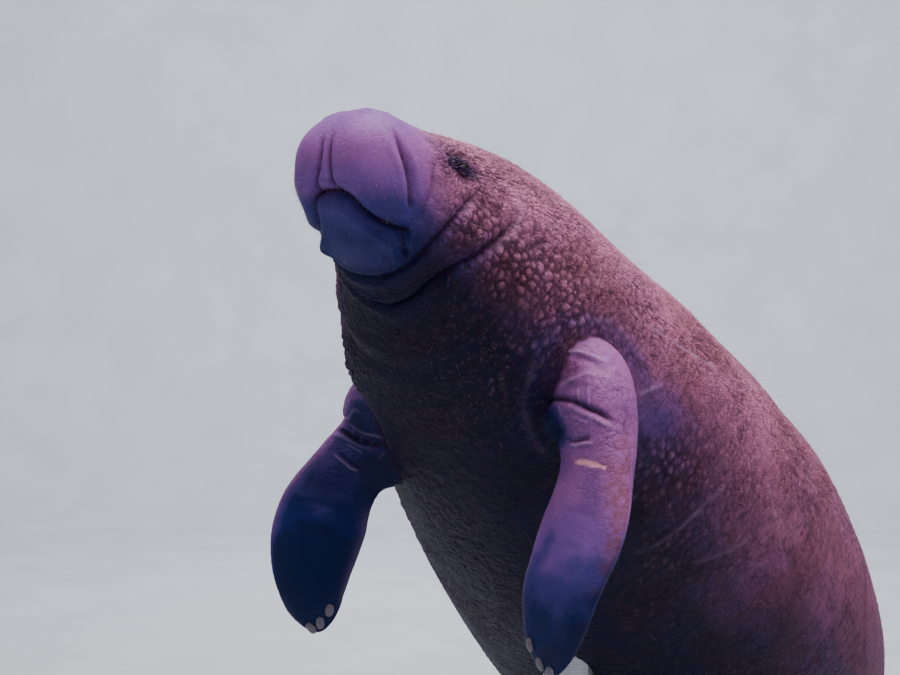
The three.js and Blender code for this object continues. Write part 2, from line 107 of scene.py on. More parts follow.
def curve_through(pairs):
    """A natural cubic spline through (x, y) pairs, as a function of x."""
    x, y = np.array(pairs, float).T
    n = len(x)
    step = np.diff(x)
    slope = np.diff(y) / step
    matrix = np.eye(n)
    change = np.zeros(n)
    for i in range(1, n - 1):
        matrix[i, i - 1 : i + 2] = step[i - 1], 2 * (step[i - 1] + step[i]), step[i]
        change[i] = 6 * (slope[i] - slope[i - 1])
    bend = np.linalg.solve(matrix, change)

    def value(at):
        i = np.clip(np.searchsorted(x, at, side="right") - 1, 0, n - 2)
        h = step[i]
        a = (x[i + 1] - at) / h
        b = 1 - a
        sag = ((a**3 - a) * bend[i] + (b**3 - b) * bend[i + 1]) * h * h / 6
        return a * y[i] + b * y[i + 1] + sag

    return value


def power(x, p):
    return np.sign(x) * np.abs(x) ** p


def smooth(low, high, x):
    t = np.clip((x - low) / (high - low), 0, 1)
    return t * t * (3 - 2 * t)


def bell(x):
    return np.exp(-x * x)


def left_side(p):
    """Points of the straight body, with those of the right side mirrored to the left."""
    return np.stack([p[:, 0], np.abs(p[:, 1]), p[:, 2]], -1)


def unit(vectors):
    return vectors / np.maximum(np.linalg.norm(vectors, axis=-1, keepdims=True), 1e-12)


half_width, height, depth, squareness = (
    curve_through([(ring[0], ring[i]) for ring in BODY_RINGS]) for i in range(1, 5)
)


def plain_surface(s, angle):
    """The straight body's plain surface. The angle is 0 at the back and grows towards the left."""
    p = 2 / squareness(s)
    nose_way = np.minimum(1, s / NOSE_ROUND)
    nose = np.sqrt(nose_way * (2 - nose_way))
    end_way = np.maximum(0, (s - LENGTH + PADDLE_ROUND) / PADDLE_ROUND)
    end = np.sqrt(np.maximum(0, 1 - end_way**2))
    c = np.cos(angle)
    u = half_width(s) * nose * end * power(np.sin(angle), p)
    v = np.where(c > 0, height(s), depth(s)) * nose * np.sqrt(end) * power(c, p)
    under = np.maximum(0, -v - 18) / 100
    back = CHIN_BACK * under**1.4 * (1 - smooth(40, 320, s))
    return np.stack([s + back, u, v], -1)


def plain_normal(s, angle):
    ds = np.minimum(2, np.minimum(s, LENGTH - s) * 0.5)
    along = plain_surface(s + ds, angle) - plain_surface(s - ds, angle)
    round_it = plain_surface(s, angle + 0.01) - plain_surface(s, angle - 0.01)
    return unit(np.cross(along, round_it))


def on_body(place):
    """A point of the plain surface: (s, degrees from the back), or {u, v} on the muzzle's front."""
    if not isinstance(place, dict):
        return plain_surface(np.array(float(place[0])), np.radians(place[1]))
    u, v = place["u"], place["v"]
    p = squareness(0)
    w = half_width(NOSE_ROUND / 2)
    h = height(NOSE_ROUND / 2) if v > 0 else depth(NOSE_ROUND / 2)
    share = (abs(u / w) ** p + abs(v / h) ** p) ** (1 / p)
    s = NOSE_ROUND * (1 - math.sqrt(max(0, 1 - share * share)))
    return plain_surface(s, math.atan2(power(u / w, p / 2), power(v / h, p / 2)))


# The spine in space
SPINE_STEP = 5
pitch_at = curve_through(PITCH)
middles = np.radians(pitch_at(np.arange(0, LENGTH + 100, SPINE_STEP) + SPINE_STEP / 2))
SPINE = SPINE_STEP * np.concatenate(
    [[(0, 0)], np.cumsum(np.stack([np.cos(middles), -np.sin(middles)], -1), 0)]
)
sway_curve = curve_through(SWAY)


def sway_at(s):
    return sway_curve(np.minimum(s, SWAY[-1][0])) * (1 - smooth(*STRAIGHT_FROM, s))


def bent(p):
    """Points of the straight body, set along the spine and on the stand."""
    s, u, v = p[..., 0], p[..., 1], p[..., 2]
    pitch = np.radians(pitch_at(s))
    turn = np.arctan(sway_at(s + 0.5) - sway_at(s - 0.5))
    i = np.clip(np.floor(s / SPINE_STEP).astype(int), 0, len(SPINE) - 2)
    ahead = s - i * SPINE_STEP - u * np.sin(turn)
    y = SPINE[i, 0] + np.cos(pitch) * ahead + np.sin(pitch) * v
    z = SPINE[i, 1] - np.sin(pitch) * ahead + np.cos(pitch) * v
    return np.stack([sway_at(s) + u * np.cos(turn), y - STAND_AT, z + LIFT], -1)


class Path:
    """A centripetal Catmull-Rom curve through points, with places by share of its length."""

    PIECES = 200

    def __init__(self, points):
        points = np.array(points, float)
        first = 2 * points[0] - points[1]
        last = 2 * points[-1] - points[-2]
        self.points = np.concatenate([[first], points, [last]])
        shares = np.linspace(0, 1, self.PIECES + 1)
        steps = np.linalg.norm(np.diff(self.at(shares), axis=0), axis=1)
        self.lengths = np.concatenate([[0], np.cumsum(steps)])

    def at(self, t):
        last = len(self.points) - 4
        x = np.asarray(t, float) * (last + 1)
        i = np.clip(np.floor(x).astype(int), 0, last)
        w = (x - i)[..., None]
        a, b, c, d = (self.points[i + k] for k in range(4))
        ab, bc, cd = (
            np.sqrt(np.linalg.norm(q - p, axis=-1))[..., None] for p, q in ((a, b), (b, c), (c, d))
        )
        start = ((b - a) / ab - (c - a) / (ab + bc) + (c - b) / bc) * bc
        stop = ((c - b) / bc - (d - b) / (bc + cd) + (d - c) / cd) * bc
        two = -3 * b + 3 * c - 2 * start - stop
        three = 2 * b - 2 * c + start + stop
        return b + start * w + two * w**2 + three * w**3

    def even(self, share):
        shares = np.linspace(0, 1, self.PIECES + 1)
        return np.interp(share * self.lengths[-1], self.lengths, shares)

    def frame(self, share):
        """The point at a share of the length, and the way that the curve runs there."""
        t = self.even(share)
        ahead = self.at(np.minimum(1, t + 1e-4)) - self.at(np.maximum(0, t - 1e-4))
        return self.at(t), unit(ahead)


def front(u, v):
    """A place on the muzzle's front: so far to the left, and so far above the spine."""
    return {"u": u, "v": v}


def crease(run, wide, deep, swell, cut, fade):
    """A crease or ridge of the left side, mirrored on the right: where it runs, how wide and how
    deep it is, how high the skin swells beside it, how deep a thin cut runs along its bottom, and
    over which share of each end it dies away."""
    return {"run": run, "wide": wide, "deep": deep, "swell": swell, "cut": cut, "fade": fade}


LIP_GROOVE = [front(10, 50), front(9, 26), front(10, 2), front(14, -20), front(21, -41)]
# The mouth is highest in the middle
MOUTH = [front(0, -42), front(20, -43), front(35, -49), (24, 147), (37, 144), (56, 138)]
MOUTH += [(78, 132), (92, 126)]
PAD_EDGE = [(46, 54), (48, 66), (53, 78), (64, 89), (73, 98), (76, 108), (80, 117)]
CHEEK = [(114, 70), (112, 84), (110, 98), (103, 106), (99, 115), (92, 124)]
LOWER_LIP_CORNER = [(80, 131), (82, 138), (96, 144), (108, 146)]
JAW_FOLD = [(200, 82), (184, 90), (167, 98), (143, 113), (126, 130), (118, 147), (115, 164), (116, 180)]
THROAT_FOLD = [(276, 76), (250, 95), (229, 107), (202, 120), (180, 133), (170, 148), (178, 164)]
THROAT_FOLD += [(188, 180)]
BEFORE_EYE = [(110, 38), (121, 53), (129, 68), (135, 78), (142, 84), (152, 91)]
NECK_ROOT = [(352, 180), (346, 150), (350, 128), (376, 108)]
CREASES = [
    crease(LIP_GROOVE, wide=5, deep=7, swell=1, cut=3, fade=(0.45, 0)),
    crease(MOUTH, wide=8, deep=14, swell=3, cut=7, fade=(0, 0.12)),
    crease(PAD_EDGE, wide=6, deep=8, swell=2, cut=4, fade=(0.5, 0.2)),
    crease(CHEEK, wide=9, deep=4, swell=1, cut=2, fade=(0.3, 0.3)),
    crease(LOWER_LIP_CORNER, wide=6, deep=6, swell=3, cut=3, fade=(0.2, 0.3)),
    crease(JAW_FOLD, wide=7, deep=8, swell=2, cut=5, fade=(0.35, 0)),
    crease(THROAT_FOLD, wide=8, deep=10, swell=3, cut=6, fade=(0.35, 0)),
    crease(BEFORE_EYE, wide=6, deep=-4, swell=-3, cut=0, fade=(0.25, 0.3)),
    crease(NECK_ROOT, wide=18, deep=4, swell=2, cut=0, fade=(0, 0.4)),
]

EYE_PLACE = (164, 72)
# Swellings and pits of the left side
LUMPS = [
    # the middle, the radius, and how far the skin rises or, negative, sinks
    (front(50, 24), 44, 11),
    (front(54, -28), 30, 7),
    ((60, 108), 26, 3),
    (front(0, -62), 34, 4),
    ((72, 146), 22, 8),
    ((60, 178), 50, 6),
    (EYE_PLACE, 26, -8),
    ((168, 48), 34, 4),
    ((146, 103), 30, 4),
    ((190, 112), 30, 4),
    ((440, 140), 60, 13),
]
EYE = {"radius": 11, "sunk": 7}
LID = {"radius": 14, "width": 5, "up": 6}
NOSTRIL = {"at": (52, 20), "radius": 9, "deep": 12, "rim": 16, "rimWidth": 5, "rimUp": 2}
eye_middle = on_body(EYE_PLACE)
nostril_middle = on_body(NOSTRIL["at"])

STEPS_ALONG = 24


def line_through(places):
    """Points along a smooth line that is laid over the plain body."""
    return Path([on_body(place) for place in places]).at(np.linspace(0, 1, STEPS_ALONG + 1))


def distance_along(line, p, reach):
    """How far each point is from a line, and the share of the line's length beside it."""
    far = np.full(len(p), np.inf)
    share = np.zeros(len(p))
    low, high = line.min(0) - reach, line.max(0) + reach
    close = np.flatnonzero(((p > low) & (p < high)).all(-1))
    near = p[close]
    least, best = far[close], share[close]
    for i in range(len(line) - 1):
        step = line[i + 1] - line[i]
        t = np.clip((near - line[i]) @ step / (step @ step), 0, 1)
        d = np.linalg.norm(near - line[i] - t[:, None] * step, axis=-1)
        nearer = d < least
        least[nearer] = d[nearer]
        best[nearer] = (i + t[nearer]) / (len(line) - 1)
    far[close], share[close] = least, best
    return far, share


def fading(share, ends):
    """1 along a crease's middle, dying away to 0 over a share of each end."""
    first, last = ends
    start = smooth(0, first, share) if first else 1
    end = 1 - smooth(1 - last, 1, share) if last else 1
    return start * end


# Where the skin swells beside a crease, in widths of the crease, and how wide the cut is
SWELL_AT = 2.2
SWELL_WIDE = 1.1
CUT_WIDE = 2.6


def relief(p):
    """How far the solids' own folds lift the skin at points of the plain body, and the cuts."""
    left = left_side(p)
    up = np.zeros(len(p))
    cut = np.zeros(len(p))
    for one in CREASES:
        far, share = distance_along(line_through(one["run"]), left, 6 * one["wide"])
        d = far / one["wide"]
        much = fading(share, one["fade"])
        up -= much * one["deep"] * np.exp(-(d**1.5))
        up += much * one["swell"] * bell((d - SWELL_AT) / SWELL_WIDE)
        cut += much * one["cut"] * bell(far / CUT_WIDE)
    for at, radius, rise in LUMPS:
        up += rise * bell(np.linalg.norm(left - on_body(at), axis=-1) / radius)
    from_eye = np.linalg.norm(left - eye_middle, axis=-1)
    up += LID["up"] * bell((from_eye - LID["radius"]) / LID["width"])
    from_nostril = np.linalg.norm(left - nostril_middle, axis=-1)
    up -= NOSTRIL["deep"] * bell(from_nostril / NOSTRIL["radius"])
    up += NOSTRIL["rimUp"] * bell((from_nostril - NOSTRIL["rim"]) / NOSTRIL["rimWidth"])
    return up, cut


class Noise:
    """Smooth noise from a seeded table of random numbers, from about -1 to 1."""

    SIZE = 64

    def __init__(self, seed):
        self.table = np.random.default_rng(seed).uniform(-1, 1, (self.SIZE,) * 3)

    def __call__(self, p):
        low = np.floor(p).astype(int)
        w = p - low
        w = w * w * w * (w * (w * 6 - 15) + 10)
        total = 0
        for corner in np.ndindex(2, 2, 2):
            share = np.prod(np.where(corner, w, 1 - w), -1)
            x, y, z = np.moveaxis((low + corner) % self.SIZE, -1, 0)
            total = total + share * self.table[x, y, z]
        return total


class Cells:
    """Points scattered one to a cube of a grid, from a seeded table."""

    SIZE = 32

    def __init__(self, seed):
        random = np.random.default_rng(seed)
        self.place = random.uniform(0.1, 0.9, (self.SIZE,) * 3 + (3,))
        self.own = random.uniform(0, 1, (self.SIZE,) * 3)

    def __call__(self, p):
        """How far the nearest and the next point are, and the nearest one's own random number."""
        low = np.floor(p).astype(int)
        first = np.full(len(p), 9.0)
        second = np.full(len(p), 9.0)
        own = np.zeros(len(p))
        for step in np.ndindex(3, 3, 3):
            cell = low + np.array(step) - 1
            x, y, z = np.moveaxis(cell % self.SIZE, -1, 0)
            d = np.linalg.norm(cell + self.place[x, y, z] - p, axis=-1)
            nearer = d < first
            second = np.where(nearer, first, np.minimum(second, d))
            own = np.where(nearer, self.own[x, y, z], own)
            first = np.where(nearer, d, first)
        return first, second, own


def patch(s, degrees, at, size):
    """A soft round mask on the body's left side, mirrored on the right."""
    return np.exp(-(((s - at[0]) / size[0]) ** 2) - ((degrees - at[1]) / size[1]) ** 2)


# The body's grid: rings closest on the muzzle and round the eyes, columns closest at the eyes
EYE_WINDOW = {"s": 20, "degrees": 9, "closer": 2.2}
RINGS_AT_ENDS = int(66 * FINE)
RING_PLACES = (60, 340, 1000, 1700, 2500)
RING_STEPS = (1.9, 2.4, 3.4, 5, 7.5)
BODY_COLUMNS = int(548 * FINE)
# A place for each tenth of a degree round the body
TURN_PLACES = 3601


def body_rings():
    quarter = np.linspace(0, math.pi / 2, RINGS_AT_ENDS + 1)
    round_nose, round_end = quarter[1:], quarter[1:-1]
    places = list(NOSE_ROUND * (1 - np.cos(round_nose)))
    while places[-1] < LENGTH - PADDLE_ROUND:
        s = places[-1]
        step = np.interp(s, RING_PLACES, RING_STEPS) / FINE
        closer = 1 + EYE_WINDOW["closer"] * bell((s - EYE_PLACE[0]) / EYE_WINDOW["s"])
        places.append(s + step / closer)
    start = places.pop()
    places += [start] + list(start + (LENGTH - start) * np.sin(round_end))
    return np.array(places)


def body_columns():
    even = np.linspace(-180, 180, TURN_PLACES)
    crowd = bell((np.abs(even) - EYE_PLACE[1]) / EYE_WINDOW["degrees"])
    passed = np.cumsum(1 + EYE_WINDOW["closer"] * crowd)
    passed = (passed - passed[0]) / (passed[-1] - passed[0])
    return np.radians(np.interp(np.arange(BODY_COLUMNS) / BODY_COLUMNS, passed, even))


def grid_normals(points):
    """Outward normals of a grid of rings by columns, from its neighbours."""
    along = np.gradient(points, axis=0)
    around = (np.roll(points, -1, 1) - np.roll(points, 1, 1)) / 2
    return unit(np.cross(along, around))


# The skin's relief on the body
pebble_noise = Noise(11)
fold_noise = Noise(12)
tone_noise = Noise(13)
wrinkle_noise = Noise(14)
big_cells = Cells(21)
small_cells = Cells(22)

PEBBLE = 15
GRAIN = 7.5
PEBBLED = [
    # s and degrees of the middle, reach both ways, how strong
    ((190, 110), (24, 8), 1.0),
    ((268, 112), (34, 14), 1.2),
    ((330, 104), (46, 13), 0.9),
    ((400, 112), (60, 14), 0.7),
    ((400, 138), (90, 18), 0.55),
    ((206, 96), (34, 11), 0.8),
    ((150, 56), (12, 9), 0.3),
    ((752, 116), (60, 11), 1.2),
    ((870, 130), (80, 12), 0.6),
]
# Where painted highlights mark the tops of small knobs on the throat and the chest
KNOBBLY = ((400, 140), (190, 34))


def skin_texture(p, s, degrees):
    """Pebbles, grain and wrinkles in millimetres, with the painted shade in each point's hollows and
    the painted highlight of a knob's top, both from 0 to 1."""
    warp = np.stack([fold_noise(p / 60 + k * 7.3) for k in range(3)], -1)
    swirled = p + 5 * warp
    strong = sum(much * patch(s, degrees, at, size) for at, size, much in PEBBLED)
    muzzle = 1 - smooth(90, 150, s)
    patchy = 0.5 + 0.5 * pebble_noise(p / 90)
    coarse = np.clip(strong + 0.36 * smooth(0.2, 0.8, patchy) * (1 - muzzle), 0, 1.2)
    # Pebbles, in patches, with hollows between them
    first, second, own = big_cells(swirled / PEBBLE)
    gap = 1 - smooth(0.03, 0.38, second - first)
    dome = 1 - np.minimum(1, (first / 0.75) ** 2)
    pebbles = (1.9 * dome - 2.4 * gap - 0.3) * (0.55 + 0.9 * own) * coarse
    # Finer grain, strongest on the back
    first_small, second_small, own_small = small_cells(swirled / GRAIN)
    small_gap = 1 - smooth(0.0, 0.4, second_small - first_small)
    back = 1 - smooth(55, 100, degrees)
    grainy = (0.5 + 0.5 * back + 0.4 * patchy) * (1 - 0.88 * muzzle)
    grain = (0.4 - small_gap) * (0.5 + own_small) * grainy
    # Wrinkles round the body and along it, which the muzzle has hardly any of
    ridge = 1 - np.abs(wrinkle_noise(swirled / (11, 24, 24)))
    cross = 1 - np.abs(wrinkle_noise(swirled / (26, 11, 13) + 9.1))
    wrinkles = -(ridge**7) * 1.3 - (cross**7) * 1.0
    calm = 1 - muzzle * (1 - 0.25 * smooth(12, 60, s))
    wrinkles = wrinkles * calm
    lined = (ridge**7 + 0.7 * cross**7) * calm
    # Painted shade in the gaps between pebbles and grains and along the wrinkles
    hollow_shade = np.clip(gap * coarse + small_gap * grainy * 0.5 + 0.4 * lined, 0, 1)
    # Painted highlights on the tops of knobs, which also lift the skin a little
    top = (1 - smooth(0.12, 0.4, first_small)) * smooth(0.45, 0.75, own_small)
    knob_top_highlight = top * patch(s, degrees, *KNOBBLY) * (1 - muzzle)
    tops = (1 - smooth(0.15, 0.5, first)) * np.minimum(1, coarse) * (own > 0.3)
    knob_top_highlight = np.maximum(knob_top_highlight, 0.6 * tops * smooth(200, 260, s))
    return pebbles + grain + wrinkles + 0.8 * knob_top_highlight, hollow_shade, knob_top_highlight


def eye_frame():
    """The eye's own directions: back along the body, up towards the back, and out."""
    s, angle = float(EYE_PLACE[0]), math.radians(EYE_PLACE[1])
    out = plain_normal(np.array(s), np.array(angle))
    up = plain_surface(np.array(s), angle - 0.05) - plain_surface(np.array(s), angle + 0.05)
    up = unit(up - out * (up @ out))
    return np.cross(up, out) * -1, up, out


eye_back, eye_up, eye_out = eye_frame()
EYE_SLIT = {"long": 10.5, "high": 4.2, "turn": -14, "lid": 1.6, "inside": 5.5}
# The sunken fold round the slit, which also gets painted shade: its middle, its reach along the slit and
# across it
EYE_FOLD = {"at": (0, 3), "long": 21, "high": 12}
EYE_REACH = 60


def lids(p, up):
    """Lays the lids over the eyeball, with a slit that shows it, and wrinkles round them, and gives the
    painted shade of the slit and the folds round it.
    """
    from_eye = left_side(p) - eye_middle
    far = np.linalg.norm(from_eye, axis=-1)
    near = far < EYE_REACH
    turn = math.radians(EYE_SLIT["turn"])
    a = from_eye @ (eye_back * math.cos(turn) + eye_up * math.sin(turn))
    b = from_eye @ (eye_up * math.cos(turn) - eye_back * math.sin(turn))
    r = np.hypot(a, b)
    at, long, high = EYE_FOLD["at"], EYE_FOLD["long"], EYE_FOLD["high"]
    fold = bell(np.hypot((a - at[0]) / long, (b - at[1]) / high))
    new = up - 0.75 * LID["up"] * bell((far - LID["radius"]) / LID["width"]) - 2 * fold
    ball = -EYE["sunk"] + np.sqrt(np.maximum(0, EYE["radius"] ** 2 - r**2))
    over = ball + EYE_SLIT["lid"]
    share = 1 - smooth(8, 17, r)
    new = new * (1 - share) + np.maximum(new, over) * share
    # The upper lid is the higher one, and hangs a little over the lower one
    arch = np.where(b > 0, EYE_SLIT["high"], 0.7 * EYE_SLIT["high"])
    slit = (a / EYE_SLIT["long"]) ** 2 + (b / arch) ** 2
    inside = 1 - smooth(0.75, 1.25, slit)
    new = new - EYE_SLIT["inside"] * inside
    new = new + 0.9 * bell((np.sqrt(slit) - 1.5) / 0.35) * (r < 24)
    # The crease over the upper lid, and the wrinkles that fan out below the eye
    brow = bell((b - 8 + 0.022 * a * a) / 1.7) * bell(a / 17)
    lower = bell((b + 7.5 - 0.02 * a * a) / 1.5) * bell(a / 13)
    new = new - 2.6 * brow - 1.4 * lower
    rings = np.sin(r * 1.3 + 1.2 * fold_noise(p / 9)) * bell((r - 22) / 7)
    rays = np.sin(np.arctan2(b, a) * 19 + 2.5 * fold_noise(p / 14))
    fan = rays * bell((r - 19) / 8) * smooth(2, -4, b)
    new = new + 0.4 * rings + 0.9 * fan
    # Painted shade in the slit, the fold, the brow crease and round the eye
    around = bell(np.hypot((a + 2) / 34, (b - 4) / 20))
    shade_and_tone = np.max([inside, 0.95 * fold, 0.8 * brow, 0.62 * around], 0)
    return np.where(near, new, up), np.where(near, np.maximum(shade_and_tone, -0.3 * fan), 0)


def thin_line(wide, up, scratch_and_highlight, *run):
    """A line on the skin: its width, how far it lifts the skin, how pale it is, and its run. The paleness
    is real on sunken scratches and a painted highlight on raised crests.
    """
    return {"run": run, "wide": wide, "up": up, "scratch_and_highlight": scratch_and_highlight}


# Thin lines on the left side: pale scratches, and the edges of folds behind the flipper, whose raised
# crests get a painted highlight
SCRATCHES = [
    thin_line(4, -1.6, 0.5, (556, 87), (616, 84), (682, 81), (748, 76.5)),
    thin_line(3, -0.8, 0.4, (916, 96), (1018, 105), (1120, 112.5)),
    thin_line(5, 2.5, 0.4, (590, 114), (604, 111), (622, 105), (640, 99)),
    thin_line(7, 2.4, 0.3, (826, 144), (838, 132), (838, 118.5), (856, 105)),
    thin_line(6, 2, 0.25, (920, 132), (928, 129), (958, 120), (976, 112)),
    thin_line(8, 2.5, 0.2, (238, 72), (262, 84), (258, 96), (232, 110)),
    thin_line(4, -1.0, 0.4, (1320, 70), (1420, 62), (1500, 64)),
    thin_line(9, 4, 0.2, (600, 147), (536, 147), (456, 141), (404, 130)),
    thin_line(9, 3, 0.1, (412, 114), (470, 104), (521, 100), (566, 101), (601, 103)),
    thin_line(5, -1.4, 0.5, (1660, 84), (1740, 66), (1830, 58)),
    thin_line(4, -1.2, 0.4, (1960, 40), (2050, 62), (2140, 70)),
]


def scratched(p):
    left = left_side(p)
    up = np.zeros(len(p))
    scratch_and_highlight = np.zeros(len(p))
    for scratch in SCRATCHES:
        line = line_through(scratch["run"])
        far, share = distance_along(line, left, 5 * scratch["wide"])
        ends = smooth(0, 0.15, share) * (1 - smooth(0.85, 1, share))
        broken = 0.6 + 0.4 * fold_noise(left / 12)
        mark = bell(far / scratch["wide"]) * ends * broken
        up += scratch["up"] * mark
        scratch_and_highlight = np.maximum(scratch_and_highlight, scratch["scratch_and_highlight"] * bell(far / (0.6 * scratch["wide"])) * ends * broken)
    return up, scratch_and_highlight


# Slow swellings of the muscle under the skin, from behind the head to the tail
MUSCLE = {"up": 5, "over": 170, "from": (300, 700), "to": (2200, 2500)}
CUT_SHADE = 0.17


def body_skin():
    """The body's skin as a grid of points in millimetres, with its masks."""
    s, angle = np.meshgrid(body_rings(), body_columns(), indexing="ij")
    plain = plain_surface(s, angle)
    normal = plain_normal(s, angle)
    flat = plain.reshape(-1, 3)
    up, cut = relief(flat)
    up, eye_shade = lids(flat, up)
    degrees = np.degrees(np.abs(angle)).ravel()
    scratch_up, scratch_and_highlight = scratched(flat)
    along = s.ravel()
    texture, hollow_shade, knob_top_highlight = skin_texture(flat, along, degrees)
    far = np.linalg.norm(left_side(flat) - eye_middle, axis=-1)
    clear = 1 - bell(far / 20)
    muscle = MUSCLE["up"] * fold_noise(flat / MUSCLE["over"] + 3)
    muscle = muscle * smooth(*MUSCLE["from"], along) * (1 - smooth(*MUSCLE["to"], along))
    up = up - cut + scratch_up + texture * clear + muscle
    skin = bent(plain + normal * up.reshape(s.shape)[..., None])
    return {
        "points": skin,
        "plain": bent(plain),
        "straight": flat,
        "s": along,
        "degrees": degrees,
        "hollow_shade": np.clip(hollow_shade * clear + CUT_SHADE * cut + eye_shade, 0, 1),
        "knob_top_highlight": knob_top_highlight * clear,
        "scratch_and_highlight": scratch_and_highlight,
        "eye": np.clip(eye_shade, 0, 1),
    }


# The flippers. Their joints are measured from the middle of the root: out, forward and up.
ROOT_PLACE = (536, 121.5)
LEADING_EDGE = (0.95, 0.25, 0.1)
FLIPPER = {"round": 0.1, "leadingSwell": 0.28, "armpitSwell": 0.55}
FLIPPER_SECTIONS = [
    # share of the length, half width, half thickness
    (0, 84, 54),
    (0.17, 80, 52),
    (0.33, 66, 44),
    (0.45, 69, 33),
    (0.57, 82, 25),
    (0.7, 80, 20),
    (0.83, 64, 16),
    (0.93, 46, 12),
    (1, 34, 9),
]
JOINTS = {
    "left": [
        (-100, -2, 16),
        (-24, 4, 4),
        (12, 26, -28),
        (32, 48, -88),
        (36, 76, -152),
        (30, 108, -221),
        (15, 138, -293),
        (0, 138, -364),
        (-5, 131, -417),
    ],
    "right": [
        (-100, -16, -26),
        (-46, -26, -50),
        (-22, -30, -92),
        (32, -15, -148),
        (68, 9, -218),
        (74, 33, -286),
        (71, 42, -350),
        (62, 36, -420),
    ],
}
SIDES = {"left": 1, "right": -1}
flipper_width = curve_through([(row[0], row[1]) for row in FLIPPER_SECTIONS])
flipper_thickness = curve_through([(row[0], row[2]) for row in FLIPPER_SECTIONS])


def flipper_surface(name):
    """A flipper's plain surface: the share of its length, and the angle round it, which is 0 at
    the leading edge and a quarter turn at the front face."""
    side = SIDES[name]
    root = bent(on_body(ROOT_PLACE)) * (side, 1, 1)

    def in_space(place):
        out, forward, up = place
        return np.array([side * out, -forward, up], float)

    path = Path([in_space(joint) + root for joint in JOINTS[name]])
    leading = in_space(LEADING_EDGE)

    def surface(t, angle):
        middle, tangent = path.frame(t)
        wide = unit(leading - (tangent @ leading)[..., None] * tangent)
        thick = np.cross(tangent, wide) * side
        end = np.maximum(0, (t - 1 + FLIPPER["round"]) / FLIPPER["round"])
        share = np.sqrt(np.maximum(0, 1 - end**2))
        edge = np.cos(angle)
        flat = np.sin(angle) * (1 + FLIPPER["leadingSwell"] * edge)
        armpit = np.where(edge < 0, 1 + FLIPPER["armpitSwell"] * (1 - smooth(0.1, 0.4, t)), 1)
        across = (flipper_width(t) * share * edge * armpit)[..., None] * wide
        return middle + across + (flipper_thickness(t) * np.sqrt(share) * flat)[..., None] * thick

    return surface


# Wrinkles across a flipper's front face: each runs through (share of the length, degrees) places. The
# raised ones get a painted highlight along their crests.
ELBOW_FOLD = [(0.14, 116), (0.185, 108), (0.22, 100), (0.26, 80), (0.28, 68), (0.305, 46), (0.335, 22)]
WRINKLES = [
    thin_line(2.8, 2.2, 0.4, (0.135, 66), (0.14, 52), (0.17, 48), (0.19, 40), (0.21, 22)),
    thin_line(5, -2.4, 0, (0.155, 62), (0.19, 50), (0.215, 38), (0.23, 22)),
    thin_line(2.8, 2.4, 0.4, (0.19, 100), (0.195, 90), (0.21, 74), (0.215, 60), (0.238, 38)),
    thin_line(4, -2, 0, (0.21, 100), (0.215, 88), (0.232, 72), (0.245, 52)),
    thin_line(4.2, -8.5, 0, *ELBOW_FOLD),
    thin_line(4, 2, 0.2, (0.24, 102), (0.28, 82), (0.3, 68), (0.326, 48), (0.35, 28)),
    thin_line(2.4, 1.2, 0.3, (0.285, 96), (0.305, 80), (0.32, 66)),
    thin_line(3.6, -3.4, 0, (0.34, 116), (0.355, 100), (0.36, 84), (0.366, 66)),
    thin_line(2.6, 2.4, 0.5, (0.355, 112), (0.37, 98), (0.374, 82), (0.38, 62)),
    thin_line(4, -1.4, 0, (0.1, 40), (0.125, 34), (0.15, 16)),
    thin_line(3, -1.8, 0, (0.22, 16), (0.25, 8), (0.28, 12)),
    thin_line(3, -2.2, 0, (0.28, 14), (0.31, 6), (0.34, 12), (0.37, 4)),
    thin_line(6, -0.9, 0, (0.55, 110), (0.56, 80), (0.575, 50)),
    thin_line(7, -0.8, 0, (0.64, 120), (0.65, 90), (0.66, 60)),
]
# Degrees round a flipper that are about as long as its whole length
ACROSS = 400
# Thin folds down the swelling between the second ridge and the deep fold, each with a painted highlight
PLEATS = {
    "from": 0.225,
    "to": 0.275,
    "first": 58,
    "last": 104,
    "slant": 0.0003,
    "count": 4,
    "wide": 2.2,
    "up": 1.2,
    "scratch_and_highlight": 0.25,
}
# How deep a wrinkle is when its painted shade is full
FULL_SHADE_DEPTH = 5
# A healed cut across the left flipper
HEALED = {"run": [(0.419, 98), (0.424, 84), (0.432, 67), (0.441, 48)], "wide": 5, "up": -1.2}
# Places with small pits, which get painted shade
PITTED = [((0.185, 66), (0.03, 20)), ((0.25, 20), (0.07, 12)), ((0.36, 46), (0.035, 16))]


def line_over(surface, run, steps=48):
    """Points along a smooth line that is laid over a flipper."""
    through = Path([(share * ACROSS, degrees) for share, degrees in run]).at(np.linspace(0, 1, steps))
    return surface(through[:, 0] / ACROSS, np.radians(through[:, 1]))


FLIPPER_RINGS = int(200 * FINE)
RINGS_AT_TIP = int(36 * FINE)
FLIPPER_COLUMNS = int(168 * FINE)


def flipper_grid():
    tip = FLIPPER["round"]
    even = np.linspace(0, 1 - tip, FLIPPER_RINGS)
    curl = np.linspace(0, math.pi / 2, RINGS_AT_TIP + 1)[1:-1]
    shares = np.concatenate([even, 1 - tip + tip * np.sin(curl)])
    turns = np.arange(FLIPPER_COLUMNS) / FLIPPER_COLUMNS
    return np.meshgrid(shares, turns * 2 * math.pi, indexing="ij")


